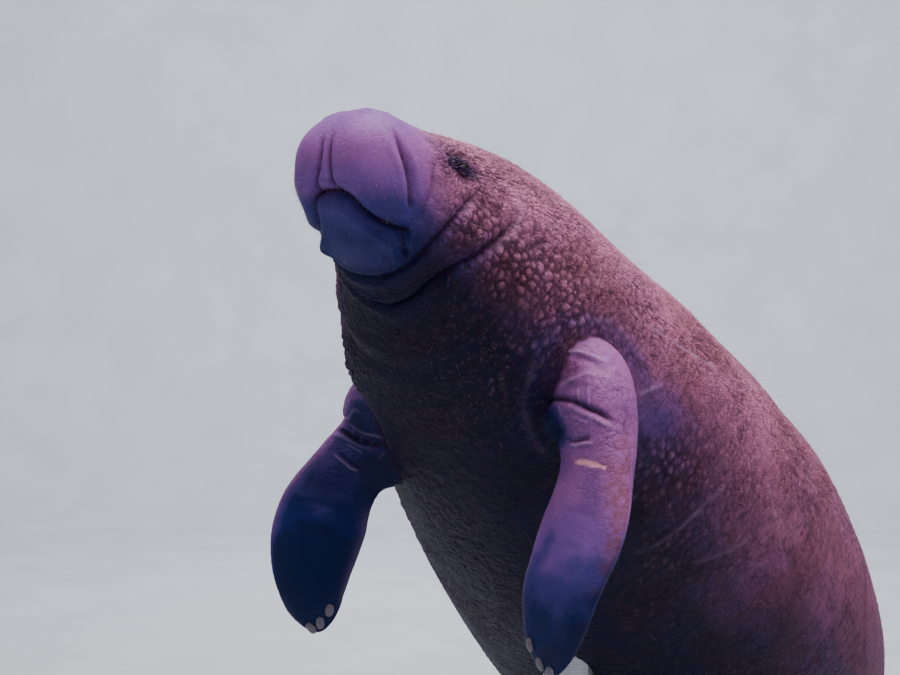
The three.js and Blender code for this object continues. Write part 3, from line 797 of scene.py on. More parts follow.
def flipper_skin(name):
    """A flipper's skin as a grid of points in millimetres, with its masks."""
    surface = flipper_surface(name)
    t, angle = flipper_grid()
    plain = surface(t, angle)
    outward = grid_normals(plain)
    middle = plain.mean(1, keepdims=True)
    outward *= np.sign((outward * (plain - middle)).sum(-1).mean())
    flat = plain.reshape(-1, 3)
    share = t.ravel()
    degrees = np.degrees(angle).ravel()
    up = np.zeros(len(flat))
    scratch_and_highlight = np.zeros(len(flat))
    healed = np.zeros(len(flat))
    hollow_shade = np.zeros(len(flat))

    lines = [(line_over(surface, wrinkle["run"]), wrinkle) for wrinkle in WRINKLES]
    for start in np.linspace(PLEATS["first"], PLEATS["last"], PLEATS["count"]):
        run = [(PLEATS["from"], start), (PLEATS["to"] + PLEATS["slant"] * (80 - start), start + 6)]
        lines.append((line_over(surface, run), PLEATS))
    for line, wrinkle in lines:
        far, way = distance_along(line, flat, 5 * wrinkle["wide"])
        ends = smooth(0, 0.2, way) * (1 - smooth(0.8, 1, way))
        mark = bell(far / wrinkle["wide"]) * (0.1 + 0.9 * ends)
        up += wrinkle["up"] * mark
        scratch_and_highlight = np.maximum(scratch_and_highlight, wrinkle["scratch_and_highlight"] * bell(far / (0.8 * wrinkle["wide"])) * ends)
        hollow_shade = np.maximum(hollow_shade, np.clip(-wrinkle["up"] / FULL_SHADE_DEPTH, 0, 1) * mark)
    if name == "left":
        far, way = distance_along(line_over(surface, HEALED["run"]), flat, 5 * HEALED["wide"])
        taper = np.minimum(1, np.minimum(way / 0.12, (1 - way) / 0.25))
        uneven = far / (HEALED["wide"] * np.maximum(0.5, taper)) * (1 + 0.15 * fold_noise(flat / 12))
        healed = 1 - smooth(0.4, 1.2, uneven)
        up += HEALED["up"] * healed
    pitted = sum(patch(share, degrees, at, size) for at, size in PITTED)
    first, second, own = small_cells(flat / 9)
    pits = (1 - smooth(0.1, 0.5, first)) * pitted * (own > 0.35)
    up -= 1.8 * pits
    hollow_shade = np.maximum(hollow_shade, pits)
    arm = 1 - smooth(0.3, 0.48, share)
    small_gap = 1 - smooth(0, 0.4, second - first)
    up += (0.4 - small_gap) * (0.3 + 0.5 * arm)
    hollow_shade = np.maximum(hollow_shade, 0.25 * small_gap * (0.4 + 0.6 * arm))
    ridge = 1 - np.abs(wrinkle_noise(flat / (16, 16, 9)))
    up -= ridge**7 * (0.3 + 0.8 * arm)
    rays = np.sin(degrees / 7 + 2.2 * fold_noise(flat / 60)) * smooth(0.5, 0.7, share)
    up += 0.35 * rays * (1 - smooth(0.92, 1, share))
    points = plain + outward * up.reshape(t.shape)[..., None]
    return {
        "points": points,
        "share": share,
        "degrees": degrees,
        "hollow_shade": np.clip(hollow_shade, 0, 1),
        "scratch_and_highlight": scratch_and_highlight,
        "healed": healed,
    }


# The colours' masks, worked out from where a point is and which way it faces, with painted shade and
# painted highlights among them
FILMED = [
    # s and degrees of the middle, reach both ways, how brown
    ((130, 127), (20, 8), 1.0),
    ((205, 101), (26, 9), 0.5),
    ((752, 116), (70, 11), 0.9),
    ((300, 112), (60, 14), 0.5),
    ((440, 96), (90, 10), 0.5),
    ((690, 100), (60, 9), 0.7),
    ((700, 64), (160, 16), 0.4),
    ((1010, 88), (60, 10), 0.5),
]
# Where the flank of the neck gets less painted shade
NECK_FLANK = ((330, 108), (140, 18))
# The smooth hollow behind the flipper, which gets bluish painted shade
RECESS = ((668, 112), (74, 12))
# The smooth rim of skin round the flipper's root, which gets bluish painted shade
COLLAR = [(590, 146), (536, 146), (460, 140), (408, 129), (410, 117), (470, 105), (521, 102)]
COLLAR += [(566, 103), (601, 105), (640, 110)]
COLLAR_REACH = 80
COLLAR_WIDE = 24
FOLD_REACH = 60


def body_masks(skin, facing):
    s, degrees = skin["s"], skin["degrees"]
    p = skin["straight"]
    mottle = tone_noise(p / 150) * 0.6 + tone_noise(p / 60 + 5) * 0.4
    # Painted shade, darker underneath and where the skin faces down, but not on the flank of the neck
    behind = smooth(650, 1000, s)
    under = smooth(84 + 4 * behind, 142 + 16 * behind, degrees + 10 * mottle)
    shade = smooth(0.5, -0.7, facing[:, 2])
    shade_and_tone = 0.04 + 0.62 * under + 0.36 * shade + 0.2 * smooth(900, 1500, s) * (1 - under)
    shade_and_tone = shade_and_tone - 0.2 * patch(s, degrees, *NECK_FLANK)
    # The muzzle's painted shade, darkest at the chin, with a little more where it faces up
    muzzle = 1 - smooth(70, 170, s + 12 * mottle)
    face = smooth(44, -96, p[:, 2])
    upwards = smooth(0.1, 0.8, facing[:, 2])
    shade_and_tone = shade_and_tone * (1 - muzzle) + (0.18 + 0.64 * face + 0.2 * upwards) * muzzle
    # Bluish painted shade round the flipper's root and behind it
    collar, _ = distance_along(line_through(COLLAR), left_side(p), COLLAR_REACH)
    recess = np.maximum(patch(s, degrees, *RECESS), 0.7 * bell(collar / COLLAR_WIDE))
    shade_and_tone = shade_and_tone + (np.maximum(0.58, shade_and_tone) - shade_and_tone) * recess
    # The brown film, in soft patches
    film = smooth(0.0, 0.8, tone_noise(p / 95 + 31) + 0.35 * tone_noise(p / 30 + 3))
    film = film * (0.3 + 0.3 * smooth(150, 260, s)) * (1 - muzzle)
    spotted = sum(much * patch(s, degrees, at, size) for at, size, much in FILMED)
    rough = smooth(-0.35, 0.5, tone_noise(p / 22 + 17))
    film = np.clip(film + spotted * rough, 0, 1) * (1 - recess)
    # Painted shade in the pit of the eye
    shade_and_tone = shade_and_tone + (np.maximum(0.78, shade_and_tone) - shade_and_tone) * smooth(0.05, 0.6, skin["eye"])
    film = film * (1 - skin["eye"])
    # The smooth lips of the jaw's and the throat's folds
    folds = np.zeros(len(s))
    for fold in (JAW_FOLD, THROAT_FOLD):
        far, share = distance_along(line_through(fold), left_side(p), FOLD_REACH)
        folds = np.maximum(folds, bell(far / 15) * fading(share, (0.4, 0)))
    return {
        "shade_and_tone": np.clip(shade_and_tone, 0, 1),
        "film": film * (1 - 0.7 * folds),
        "smooth": np.max([muzzle, 0.8 * recess, 0.7 * folds, 0.3 * skin["eye"]], 0),
        "scratch_and_highlight": skin["scratch_and_highlight"],
        "healed": np.zeros(len(s)),
        "hollow_shade": skin["hollow_shade"],
        "knob_top_highlight": skin["knob_top_highlight"],
    }


# Film on a flipper's front face: share of the length and degrees of the middle, reach, how brown
FLIPPER_FILM = [
    ((0.46, 14), (0.09, 38), 1.9),
    ((0.6, 6), (0.14, 28), 1.6),
    ((0.79, 10), (0.08, 14), 0.8),
    ((0.18, 70), (0.03, 16), 0.9),
    ((0.86, 62), (0.03, 12), 0.5),
]


def flipper_masks(name, skin, facing):
    share, degrees = skin["share"], skin["degrees"]
    p = skin["points"].reshape(-1, 3)
    # Darker towards the tip, with painted shade where it faces down and on the right one away from its
    # leading edge
    blade = smooth(0.3, 0.62, share)
    mottle = tone_noise(p / 70 + 8)
    shade_and_tone = 0.22 + 0.1 * smooth(0.3, 0.5, share) + 0.5 * smooth(0.46, 0.9, share + 0.05 * mottle)
    shade_and_tone = shade_and_tone + 0.25 * smooth(0.3, -0.5, facing[:, 2]) + 0.1 * tone_noise(p / 34 + 3)
    round_it = np.minimum(degrees, 360 - degrees)
    if name == "right":
        shade_and_tone = shade_and_tone + 0.46 * smooth(10, 60, round_it)
    # Painted shade in the pit between the upper arm and the body
    shade_and_tone = shade_and_tone + 0.6 * smooth(92, 128, round_it) * (1 - smooth(0.3, 0.38, share))
    spotted = sum(much * patch(share, degrees, at, size) for at, size, much in FLIPPER_FILM)
    rough = smooth(-0.9, 0.1, tone_noise(p / 16 + 2)) * (0.75 + 0.35 * tone_noise(p / 6))
    # A painted highlight along the rim of the rear edge
    rim = bell((degrees - 172) / 16) * smooth(0.42, 0.55, share) * (1 - smooth(0.86, 0.95, share))
    spotted = spotted * (1 if name == "left" else 0.4)
    return {
        "shade_and_tone": np.clip(shade_and_tone, 0, 1),
        "film": np.clip(spotted * rough, 0, 1),
        "smooth": np.maximum(0.75, blade),
        "scratch_and_highlight": np.maximum(skin["scratch_and_highlight"], 0.35 * rim),
        "healed": skin["healed"],
        "hollow_shade": skin["hollow_shade"],
        "knob_top_highlight": np.zeros(len(share)),
    }


# The pieces themselves
def new_mesh(name, points, quads, triangles):
    """A smooth-shaded mesh from points in millimetres."""
    mesh = bpy.data.meshes.new(name)
    corners = np.concatenate([quads.ravel(), triangles.ravel()])
    starts = np.concatenate(
        [np.arange(len(quads)) * 4, len(quads) * 4 + np.arange(len(triangles)) * 3]
    )
    mesh.vertices.add(len(points))
    mesh.vertices.foreach_set("co", (points * MM).astype(np.float32).ravel())
    mesh.loops.add(len(corners))
    mesh.loops.foreach_set("vertex_index", corners.astype(np.int32))
    mesh.polygons.add(len(starts))
    mesh.polygons.foreach_set("loop_start", starts.astype(np.int32))
    mesh.update(calc_edges=True)
    mesh.polygons.foreach_set("use_smooth", np.ones(len(starts), bool))
    return mesh


def add_object(name, mesh):
    made = bpy.data.objects.new(name, mesh)
    bpy.context.scene.collection.objects.link(made)
    return made


def closed_grid(name, points, first, last, chart, outward=1):
    """A closed mesh from rings of points, with both ends closed round a middle point. The chart is
    the (left, bottom, width, height) of its rectangle on the map."""
    rows, columns = points.shape[:2]
    r, c = np.meshgrid(np.arange(rows - 1), np.arange(columns), indexing="ij")
    a = (r * columns + c).ravel()
    b = (r * columns + (c + 1) % columns).ravel()
    quads = np.stack([a, b, b + columns, a + columns], -1)
    start = rows * columns
    ring = np.arange(columns)
    after = (ring + 1) % columns
    low = (rows - 1) * columns
    first_fan = np.stack([np.full(columns, start), after, ring], -1)
    last_fan = np.stack([np.full(columns, start + 1), low + ring, low + after], -1)
    u = np.stack([c, c + 1, c + 1, c], -1).reshape(-1, 4) / columns
    v = np.stack([r, r, r + 1, r + 1], -1).reshape(-1, 4) / (rows - 1)
    first_u = np.stack([ring + 0.5, ring + 1, ring], -1) / columns
    last_u = np.stack([ring + 0.5, ring, ring + 1], -1) / columns
    triangles = np.concatenate([first_fan, last_fan])
    if outward < 0:
        quads, u, v = quads[:, ::-1], u[:, ::-1], v[:, ::-1]
        triangles = triangles[:, ::-1]
        first_u, last_u = first_u[:, ::-1], last_u[:, ::-1]
    everything = np.concatenate([points.reshape(-1, 3), [first], [last]])
    mesh = new_mesh(name, everything, quads, triangles)
    place = np.concatenate([u.ravel(), first_u.ravel(), last_u.ravel()])
    other = np.concatenate([v.ravel(), np.zeros(first_u.size), np.ones(last_u.size)])
    left, bottom, width, high = chart
    uv = np.stack([left + place * width, bottom + other * high], -1)
    layer = mesh.uv_layers.new(name="OFBake")
    layer.data.foreach_set("uv", uv.astype(np.float32).ravel())
    return mesh


MASKS = ("shade_and_tone", "film", "smooth", "scratch_and_highlight", "healed", "hollow_shade", "knob_top_highlight")
CHARTS = {"body": (0.0, 0.0, 0.79, 1), "left": (0.81, 0.0, 0.18, 0.49), "right": (0.81, 0.51, 0.18, 0.49)}


def set_masks(mesh, masks):
    for mask in MASKS:
        first, last = masks[mask][0], masks[mask][-1]
        values = np.array([*masks[mask], first, last], np.float32)
        mesh.attributes.new(mask, "FLOAT", "POINT").data.foreach_set("value", values)


def positions(mesh):
    places = np.zeros(len(mesh.vertices) * 3, np.float32)
    mesh.vertices.foreach_get("co", places)
    return places.reshape(-1, 3)


def build_body():
    skin = body_skin()
    points = skin["points"]
    facing = -grid_normals(points).reshape(-1, 3)
    nose = np.array([[0.0, 0, 0]])
    nose[0, 0] -= relief(nose)[0][0]
    tail = np.array([LENGTH, 0.0, 0.0])
    mesh = closed_grid("manatee_skin", points, bent(nose)[0], bent(tail), CHARTS["body"])
    set_masks(mesh, body_masks(skin, -grid_normals(skin["plain"]).reshape(-1, 3)))
    return mesh, skin, facing


def build_flipper(name):
    skin = flipper_skin(name)
    points = skin["points"]
    normals = grid_normals(points)
    middle = points.mean(1, keepdims=True)
    sign = np.sign((normals * (points - middle)).sum(-1).mean())
    facing = (normals * sign).reshape(-1, 3)
    first, last = points[0].mean(0), points[-1].mean(0)
    mesh = closed_grid("flipper_" + name, points, first, last, CHARTS[name], outward=-sign)
    set_masks(mesh, flipper_masks(name, skin, facing))
    return mesh


def joined(body, limbs):
    """The body and the limbs as one closed skin."""
    skin = add_object("manatee_skin", body)
    others = bpy.data.collections.new("limbs")
    for limb in limbs:
        others.objects.link(bpy.data.objects.new(limb.name, limb))
    union = skin.modifiers.new("join", "BOOLEAN")
    union.operation = "UNION"
    union.operand_type = "COLLECTION"
    union.collection = others
    union.solver = "MANIFOLD"
    depsgraph = bpy.context.evaluated_depsgraph_get()
    made = bpy.data.meshes.new_from_object(skin.evaluated_get(depsgraph))
    skin.modifiers.clear()
    skin.data = made
    for limb in list(others.objects):
        bpy.data.objects.remove(limb)
    bpy.data.collections.remove(others)
    return skin


def fill_masks(mesh, fresh, known):
    """Gives each new point of the seam the masks of the nearest old one."""
    places = positions(mesh)
    tree = KDTree(int(known.sum()))
    for i in np.flatnonzero(known):
        tree.insert(places[i], int(i))
    tree.balance()
    nearest = [tree.find(place)[1] for place in places[fresh]]
    for mask in MASKS:
        values = np.zeros(len(places), np.float32)
        mesh.attributes[mask].data.foreach_get("value", values)
        values[fresh] = values[nearest]
        mesh.attributes[mask].data.foreach_set("value", values)


SEAM_REACH = 12 * MM
SEAM_ROUNDS = 6
SEAM_STEP = 0.6
# How far painted shade reaches from the seam, and how dark it is there
SEAM_SHADE_REACH = 5 * MM
SEAM_SHADE = 0.9


def soften_seam(mesh, fresh):
    """Rounds the skin where a flipper comes out of the body, and paints shade along the seam."""
    places = positions(mesh).astype(float)
    low, high = places[fresh].min(0) - SEAM_REACH, places[fresh].max(0) + SEAM_REACH
    close = np.flatnonzero(((places > low) & (places < high)).all(-1))
    tree = KDTree(int(fresh.sum()))
    for i in np.flatnonzero(fresh):
        tree.insert(places[i], int(i))
    tree.balance()
    far = np.array([tree.find(place)[2] for place in places[close]])
    hollow_shade = np.zeros(len(places), np.float32)
    mesh.attributes["hollow_shade"].data.foreach_get("value", hollow_shade)
    hollow_shade[close] = np.maximum(hollow_shade[close], SEAM_SHADE * bell(far / SEAM_SHADE_REACH))
    mesh.attributes["hollow_shade"].data.foreach_set("value", hollow_shade)
    weight = np.zeros(len(places))
    weight[close] = 1 - smooth(0.15, 1, far / SEAM_REACH)
    edges = np.zeros(len(mesh.edges) * 2, np.int32)
    mesh.edges.foreach_get("vertices", edges)
    edges = edges.reshape(-1, 2)
    edges = edges[(weight[edges] > 0).any(-1)]
    for _ in range(SEAM_ROUNDS):
        total = np.zeros_like(places)
        count = np.zeros(len(places))
        for one, other in (edges.T, edges[:, ::-1].T):
            np.add.at(total, one, places[other])
            np.add.at(count, one, 1)
        some = count > 0
        middle = total[some] / count[some, None]
        places[some] += (middle - places[some]) * (SEAM_STEP * weight[some, None])
    mesh.vertices.foreach_set("co", places.astype(np.float32).ravel())
    mesh.update()


def same_points(new, old):
    """For each new point, whether it is also one of the old ones."""
    known = set(map(bytes, old))
    return np.array([bytes(place) in known for place in new])


def build_skin():
    """The whole skin, and the body's grid with the way that each of its points faces."""
    body_mesh, body, facing = build_body()
    limbs = [build_flipper(name) for name in SIDES]
    old = np.concatenate([positions(mesh) for mesh in [body_mesh] + limbs])
    skin = joined(body_mesh, limbs)
    known = same_points(positions(skin.data), old)
    fill_masks(skin.data, ~known, known)
    soften_seam(skin.data, ~known)
    skin.data.polygons.foreach_set("use_smooth", np.ones(len(skin.data.polygons), bool))
    skin.name = skin.data.name = "manatee_skin"
    return skin, body, facing


# Materials
class Look:
    """A node material with a few short ways to add nodes."""

    def __init__(self, name):
        self.material = bpy.data.materials.new(name)
        self.material.use_nodes = True
        self.tree = self.material.node_tree
        self.shader = self.tree.nodes["Principled BSDF"]

    def node(self, kind, **values):
        made = self.tree.nodes.new(kind)
        for key, value in values.items():
            setattr(made, key, value)
        return made

    def link(self, out, into):
        self.tree.links.new(out, into)

    def place(self, scale=(1, 1, 1)):
        coordinates = self.node("ShaderNodeTexCoord")
        mapping = self.node("ShaderNodeMapping")
        mapping.inputs["Scale"].default_value = scale
        self.link(coordinates.outputs["Object"], mapping.inputs["Vector"])
        return mapping.outputs["Vector"]

    def bent_place(self, place, scale, much):
        """Places pushed about by a noise, so that cells are less even."""
        noise = self.node("ShaderNodeTexNoise")
        noise.inputs["Scale"].default_value = scale
        self.link(place, noise.inputs["Vector"])
        push = self.node("ShaderNodeVectorMath", operation="MULTIPLY_ADD")
        self.link(noise.outputs["Color"], push.inputs[0])
        push.inputs[1].default_value = (much, much, much)
        self.link(place, push.inputs[2])
        return push.outputs["Vector"]

    def noise(self, place, scale, detail=3, rough=0.5, twist=0):
        made = self.node("ShaderNodeTexNoise")
        made.inputs["Scale"].default_value = scale
        made.inputs["Detail"].default_value = detail
        made.inputs["Roughness"].default_value = rough
        made.inputs["Distortion"].default_value = twist
        self.link(place, made.inputs["Vector"])
        return made.outputs["Fac"]

    def cells(self, place, scale, feature="DISTANCE_TO_EDGE"):
        made = self.node("ShaderNodeTexVoronoi", feature=feature)
        made.inputs["Scale"].default_value = scale
        self.link(place, made.inputs["Vector"])
        return made.outputs["Distance"]

    def mask(self, name):
        return self.node("ShaderNodeAttribute", attribute_name=name).outputs["Fac"]

    def number(self, into, value):
        if isinstance(value, (int, float)):
            into.default_value = value
        else:
            self.link(value, into)

    def sum(self, operation, a, b, c=None):
        made = self.node("ShaderNodeMath", operation=operation)
        self.number(made.inputs[0], a)
        self.number(made.inputs[1], b)
        if c is not None:
            self.number(made.inputs[2], c)
        return made.outputs["Value"]

    def ramp(self, share, stops, smooth_between=True):
        made = self.node("ShaderNodeValToRGB")
        ramp = made.color_ramp
        ramp.interpolation = "EASE" if smooth_between else "LINEAR"
        while len(ramp.elements) < len(stops):
            ramp.elements.new(0.5)
        for element, (at, colour) in zip(ramp.elements, stops):
            element.position = at
            element.color = colour if len(colour) == 4 else (*colour, 1)
        self.link(share, made.inputs["Fac"])
        return made.outputs["Color"]

    def range(self, value, low, high, to_low=0, to_high=1):
        made = self.node("ShaderNodeMapRange")
        made.inputs["From Min"].default_value = low
        made.inputs["From Max"].default_value = high
        made.inputs["To Min"].default_value = to_low
        made.inputs["To Max"].default_value = to_high
        self.link(value, made.inputs["Value"])
        return made.outputs["Result"]

    def mix(self, share, a, b, blend="MIX"):
        made = self.node("ShaderNodeMix", data_type="RGBA", blend_type=blend)
        self.number(made.inputs["Factor"], share)
        for socket, colour in ((made.inputs[6], a), (made.inputs[7], b)):
            if isinstance(colour, tuple):
                socket.default_value = (*colour, 1)
            else:
                self.link(colour, socket)
        return made.outputs[2]

    def bump(self, height_of, strength, distance, over=None):
        made = self.node("ShaderNodeBump")
        made.inputs["Strength"].default_value = strength
        made.inputs["Distance"].default_value = distance
        self.link(height_of, made.inputs["Height"])
        if over is not None:
            self.link(over, made.inputs["Normal"])
        return made.outputs["Normal"]


def colour(red, green, blue):
    """A colour as it is seen, from 0 to 255, as the shader wants it."""
    return tuple((part / 255) ** 2.2 for part in (red, green, blue))


# The colours of the rough hide, and of the smooth skin of the muzzle, the folds and the flippers,
# each from the lit back to the painted shade of the underside
HIDE_LIT_TO_SHADED = [
    (0, colour(182, 114, 142)),
    (0.22, colour(158, 96, 126)),
    (0.45, colour(122, 72, 104)),
    (0.7, colour(60, 42, 76)),
    (0.9, colour(14, 20, 50)),
    (1, colour(2, 20, 46)),
]
SOFT_LIT_TO_SHADED = [
    (0, colour(150, 88, 142)),
    (0.22, colour(134, 82, 142)),
    (0.45, colour(108, 72, 134)),
    (0.7, colour(54, 50, 104)),
    (0.9, colour(14, 28, 74)),
    (1, colour(4, 24, 60)),
]
FILM_RED = colour(112, 60, 66)
FILM_BROWN = colour(92, 58, 44)
FILM_SHADED = colour(36, 26, 28)
HOLLOW_SHADE_COLOUR = colour(40, 24, 40)
KNOB_HIGHLIGHT = colour(160, 112, 124)
SCRATCH_AND_HIGHLIGHT_COLOUR = colour(176, 140, 178)
HEALED_PINK = colour(214, 142, 156)
# From darkened to untouched, for multiplying
GREYS = [(0, (0.42, 0.38, 0.42)), (1, (1, 1, 1))]


def skin_look():
    look = Look("manatee hide")
    place = look.place()
    wide = look.noise(place, 5, 4, 0.6)
    middle = look.noise(place, 24, 4, 0.6)
    fine = look.noise(place, 150, 3, 0.6)
    shade_and_tone = look.mask("shade_and_tone")
    soft = look.mask("smooth")
    leathery = look.range(soft, 0, 1, 1, 0.2)
    shift = look.sum("MULTIPLY_ADD", look.sum("SUBTRACT", middle, 0.5), 0.22, shade_and_tone)
    # The ramps run from the lit colour to painted shade as the shade mask rises, with some random tone
    base = look.mix(soft, look.ramp(shift, HIDE_LIT_TO_SHADED), look.ramp(shift, SOFT_LIT_TO_SHADED))
    clouds = look.ramp(look.range(wide, 0.3, 0.7, 0.72, 1), GREYS)
    base = look.mix(0.5, base, clouds, "MULTIPLY")
    freckles = look.ramp(look.range(look.noise(place, 240, 2, 0.6), 0.36, 0.66, 0.3, 1), GREYS)
    base = look.mix(look.sum("MULTIPLY", leathery, 0.6), base, freckles, "MULTIPLY")
    # Fine cracks between plates of skin, stronger in some places
    plates = look.range(look.cells(look.bent_place(place, 30, 0.012), 84), 0, 0.16)
    here = look.sum("MULTIPLY", leathery, look.range(middle, 0.4, 0.62, 0.25, 1))
    base = look.mix(look.sum("MULTIPLY", here, 0.5), base, look.ramp(plates, GREYS), "MULTIPLY")
    film = look.sum("MULTIPLY", look.mask("film"), look.range(fine, 0.3, 0.62, 0.35, 1))
    film_colour = look.mix(look.range(middle, 0.35, 0.65), FILM_BROWN, FILM_RED)
    # Where the skin is in painted shade the film takes a shaded colour
    film_colour = look.mix(look.range(shade_and_tone, 0.4, 0.9), film_colour, FILM_SHADED)
    base = look.mix(look.sum("MULTIPLY", film, 0.75), base, film_colour)
    # Painted highlight on the tops of knobs, weaker where the skin is in painted shade
    lit = look.range(shade_and_tone, 0.4, 1, 0.5, 0.36)
    base = look.mix(look.sum("MULTIPLY", look.mask("knob_top_highlight"), lit), base, KNOB_HIGHLIGHT)
    # Painted shade in hollows, cuts, pits, the eye and the seam
    base = look.mix(look.sum("MULTIPLY", look.mask("hollow_shade"), 0.75), base, HOLLOW_SHADE_COLOUR)
    # Pale scratches, and painted highlights on crests and rims, weaker where the skin is in painted shade
    dimmed_in_shade = look.range(shade_and_tone, 0.3, 1, 0.9, 0.35)
    base = look.mix(look.sum("MULTIPLY", look.mask("scratch_and_highlight"), dimmed_in_shade), base, SCRATCH_AND_HIGHLIGHT_COLOUR)
    base = look.mix(look.mask("healed"), base, HEALED_PINK)
    look.link(base, look.shader.inputs["Base Color"])
    rough = look.sum("MULTIPLY_ADD", fine, 0.24, 0.42)
    rough = look.sum("ADD", rough, look.sum("MULTIPLY", film, 0.2))
    look.link(rough, look.shader.inputs["Roughness"])
    look.shader.inputs["Specular IOR Level"].default_value = 0.12
    cracks = look.sum("MULTIPLY", look.range(look.cells(place, 190), 0, 0.28), leathery)
    pores = look.noise(place, 420, 3, 0.6)
    creased = look.noise(look.place((1, 0.6, 0.6)), 110, 4, 0.65, 0.6)
    deep = look.bump(look.sum("MULTIPLY", plates, here), 0.6, 0.0024)
    deep = look.bump(cracks, 0.5, 0.0012, deep)
    deep = look.bump(creased, 0.4, 0.0018, deep)
    look.link(look.bump(pores, 0.35, 0.0009, deep), look.shader.inputs["Normal"])
    return look.material


def hair_look():
    look = Look("bristle")
    tone = look.noise(look.place(), 60, 2)
    base = look.ramp(tone, [(0.3, colour(112, 84, 96)), (0.7, colour(168, 134, 142))])
    look.link(base, look.shader.inputs["Base Color"])
    look.shader.inputs["Roughness"].default_value = 0.4
    return look.material


def eye_look(middle, forward):
    """A dark brown ball with a black pupil."""
    look = Look("wet eye")
    geometry = look.node("ShaderNodeNewGeometry")
    away = look.node("ShaderNodeVectorMath", operation="SUBTRACT")
    look.link(geometry.outputs["Position"], away.inputs[0])
    away.inputs[1].default_value = middle
    turned = look.node("ShaderNodeVectorMath", operation="DOT_PRODUCT")
    normal = look.node("ShaderNodeVectorMath", operation="NORMALIZE")
    look.link(away.outputs["Vector"], normal.inputs[0])
    look.link(normal.outputs["Vector"], turned.inputs[0])
    turned.inputs[1].default_value = forward
    streak = look.noise(look.place(), 900, 3, 0.6)
    seen = look.sum("MULTIPLY_ADD", streak, 0.03, turned.outputs["Value"])
    base = look.ramp(
        seen,
        [
            (0.0, colour(44, 28, 40)),
            (0.72, colour(38, 24, 32)),
            (0.8, colour(30, 19, 20)),
            (0.94, colour(20, 13, 13)),
            (0.965, colour(3, 3, 4)),
        ],
        False,
    )
    look.link(base, look.shader.inputs["Base Color"])
    look.shader.inputs["Roughness"].default_value = 0.42
    look.shader.inputs["Specular IOR Level"].default_value = 0.1
    return look.material


def nail_look():
    look = Look("worn nail")
    place = look.place()
    growth = look.noise(look.place((1, 1, 5)), 160, 3, 0.6)
    base = look.ramp(
        growth, [(0.25, colour(58, 52, 66)), (0.5, colour(82, 76, 88)), (0.8, colour(118, 110, 116))]
    )
    stain = look.range(look.noise(place, 220, 3), 0.5, 0.7)
    base = look.mix(look.sum("MULTIPLY", stain, 0.5), base, colour(70, 56, 60))
    look.link(base, look.shader.inputs["Base Color"])
    look.link(look.range(growth, 0.2, 0.8, 0.32, 0.55), look.shader.inputs["Roughness"])
    look.link(look.bump(growth, 0.4, 0.0006), look.shader.inputs["Normal"])
    return look.material


def wood_look():
    look = Look("dark stained wood")
    place = look.place((0.35, 0.05, 1))
    grain = look.noise(place, 60, 6, 0.62, 1.2)
    pores = look.noise(look.place((1, 0.03, 1)), 420, 3, 0.6)
    base = look.ramp(
        grain, [(0.25, colour(34, 25, 22)), (0.5, colour(62, 46, 38)), (0.75, colour(88, 66, 52))]
    )
    look.link(base, look.shader.inputs["Base Color"])
    look.link(look.range(pores, 0.3, 0.7, 0.32, 0.5), look.shader.inputs["Roughness"])
    look.link(look.bump(pores, 0.25, 0.0006), look.shader.inputs["Normal"])
    look.shader.inputs["Coat Weight"].default_value = 0.25
    look.shader.inputs["Coat Roughness"].default_value = 0.25
    return look.material


def steel_look():
    look = Look("brushed steel")
    brushed = look.noise(look.place((1, 1, 60)), 26, 4, 0.6)
    base = look.ramp(brushed, [(0.3, colour(138, 140, 145)), (0.7, colour(176, 178, 182))])
    look.link(base, look.shader.inputs["Base Color"])
    look.link(look.range(brushed, 0.3, 0.7, 0.26, 0.42), look.shader.inputs["Roughness"])
    look.link(look.bump(brushed, 0.15, 0.0004), look.shader.inputs["Normal"])
    look.shader.inputs["Metallic"].default_value = 1
    return look.material


# Bristles on the lips and thin, sparse hairs on the body, each a bent cone of a few sides
HAIR_SIDES = 3
HAIR_STEPS = 4
HAIR_PATCH = 0.003
BRISTLES = int(1000 * FINE)
BODY_HAIRS = int(4200 * FINE)


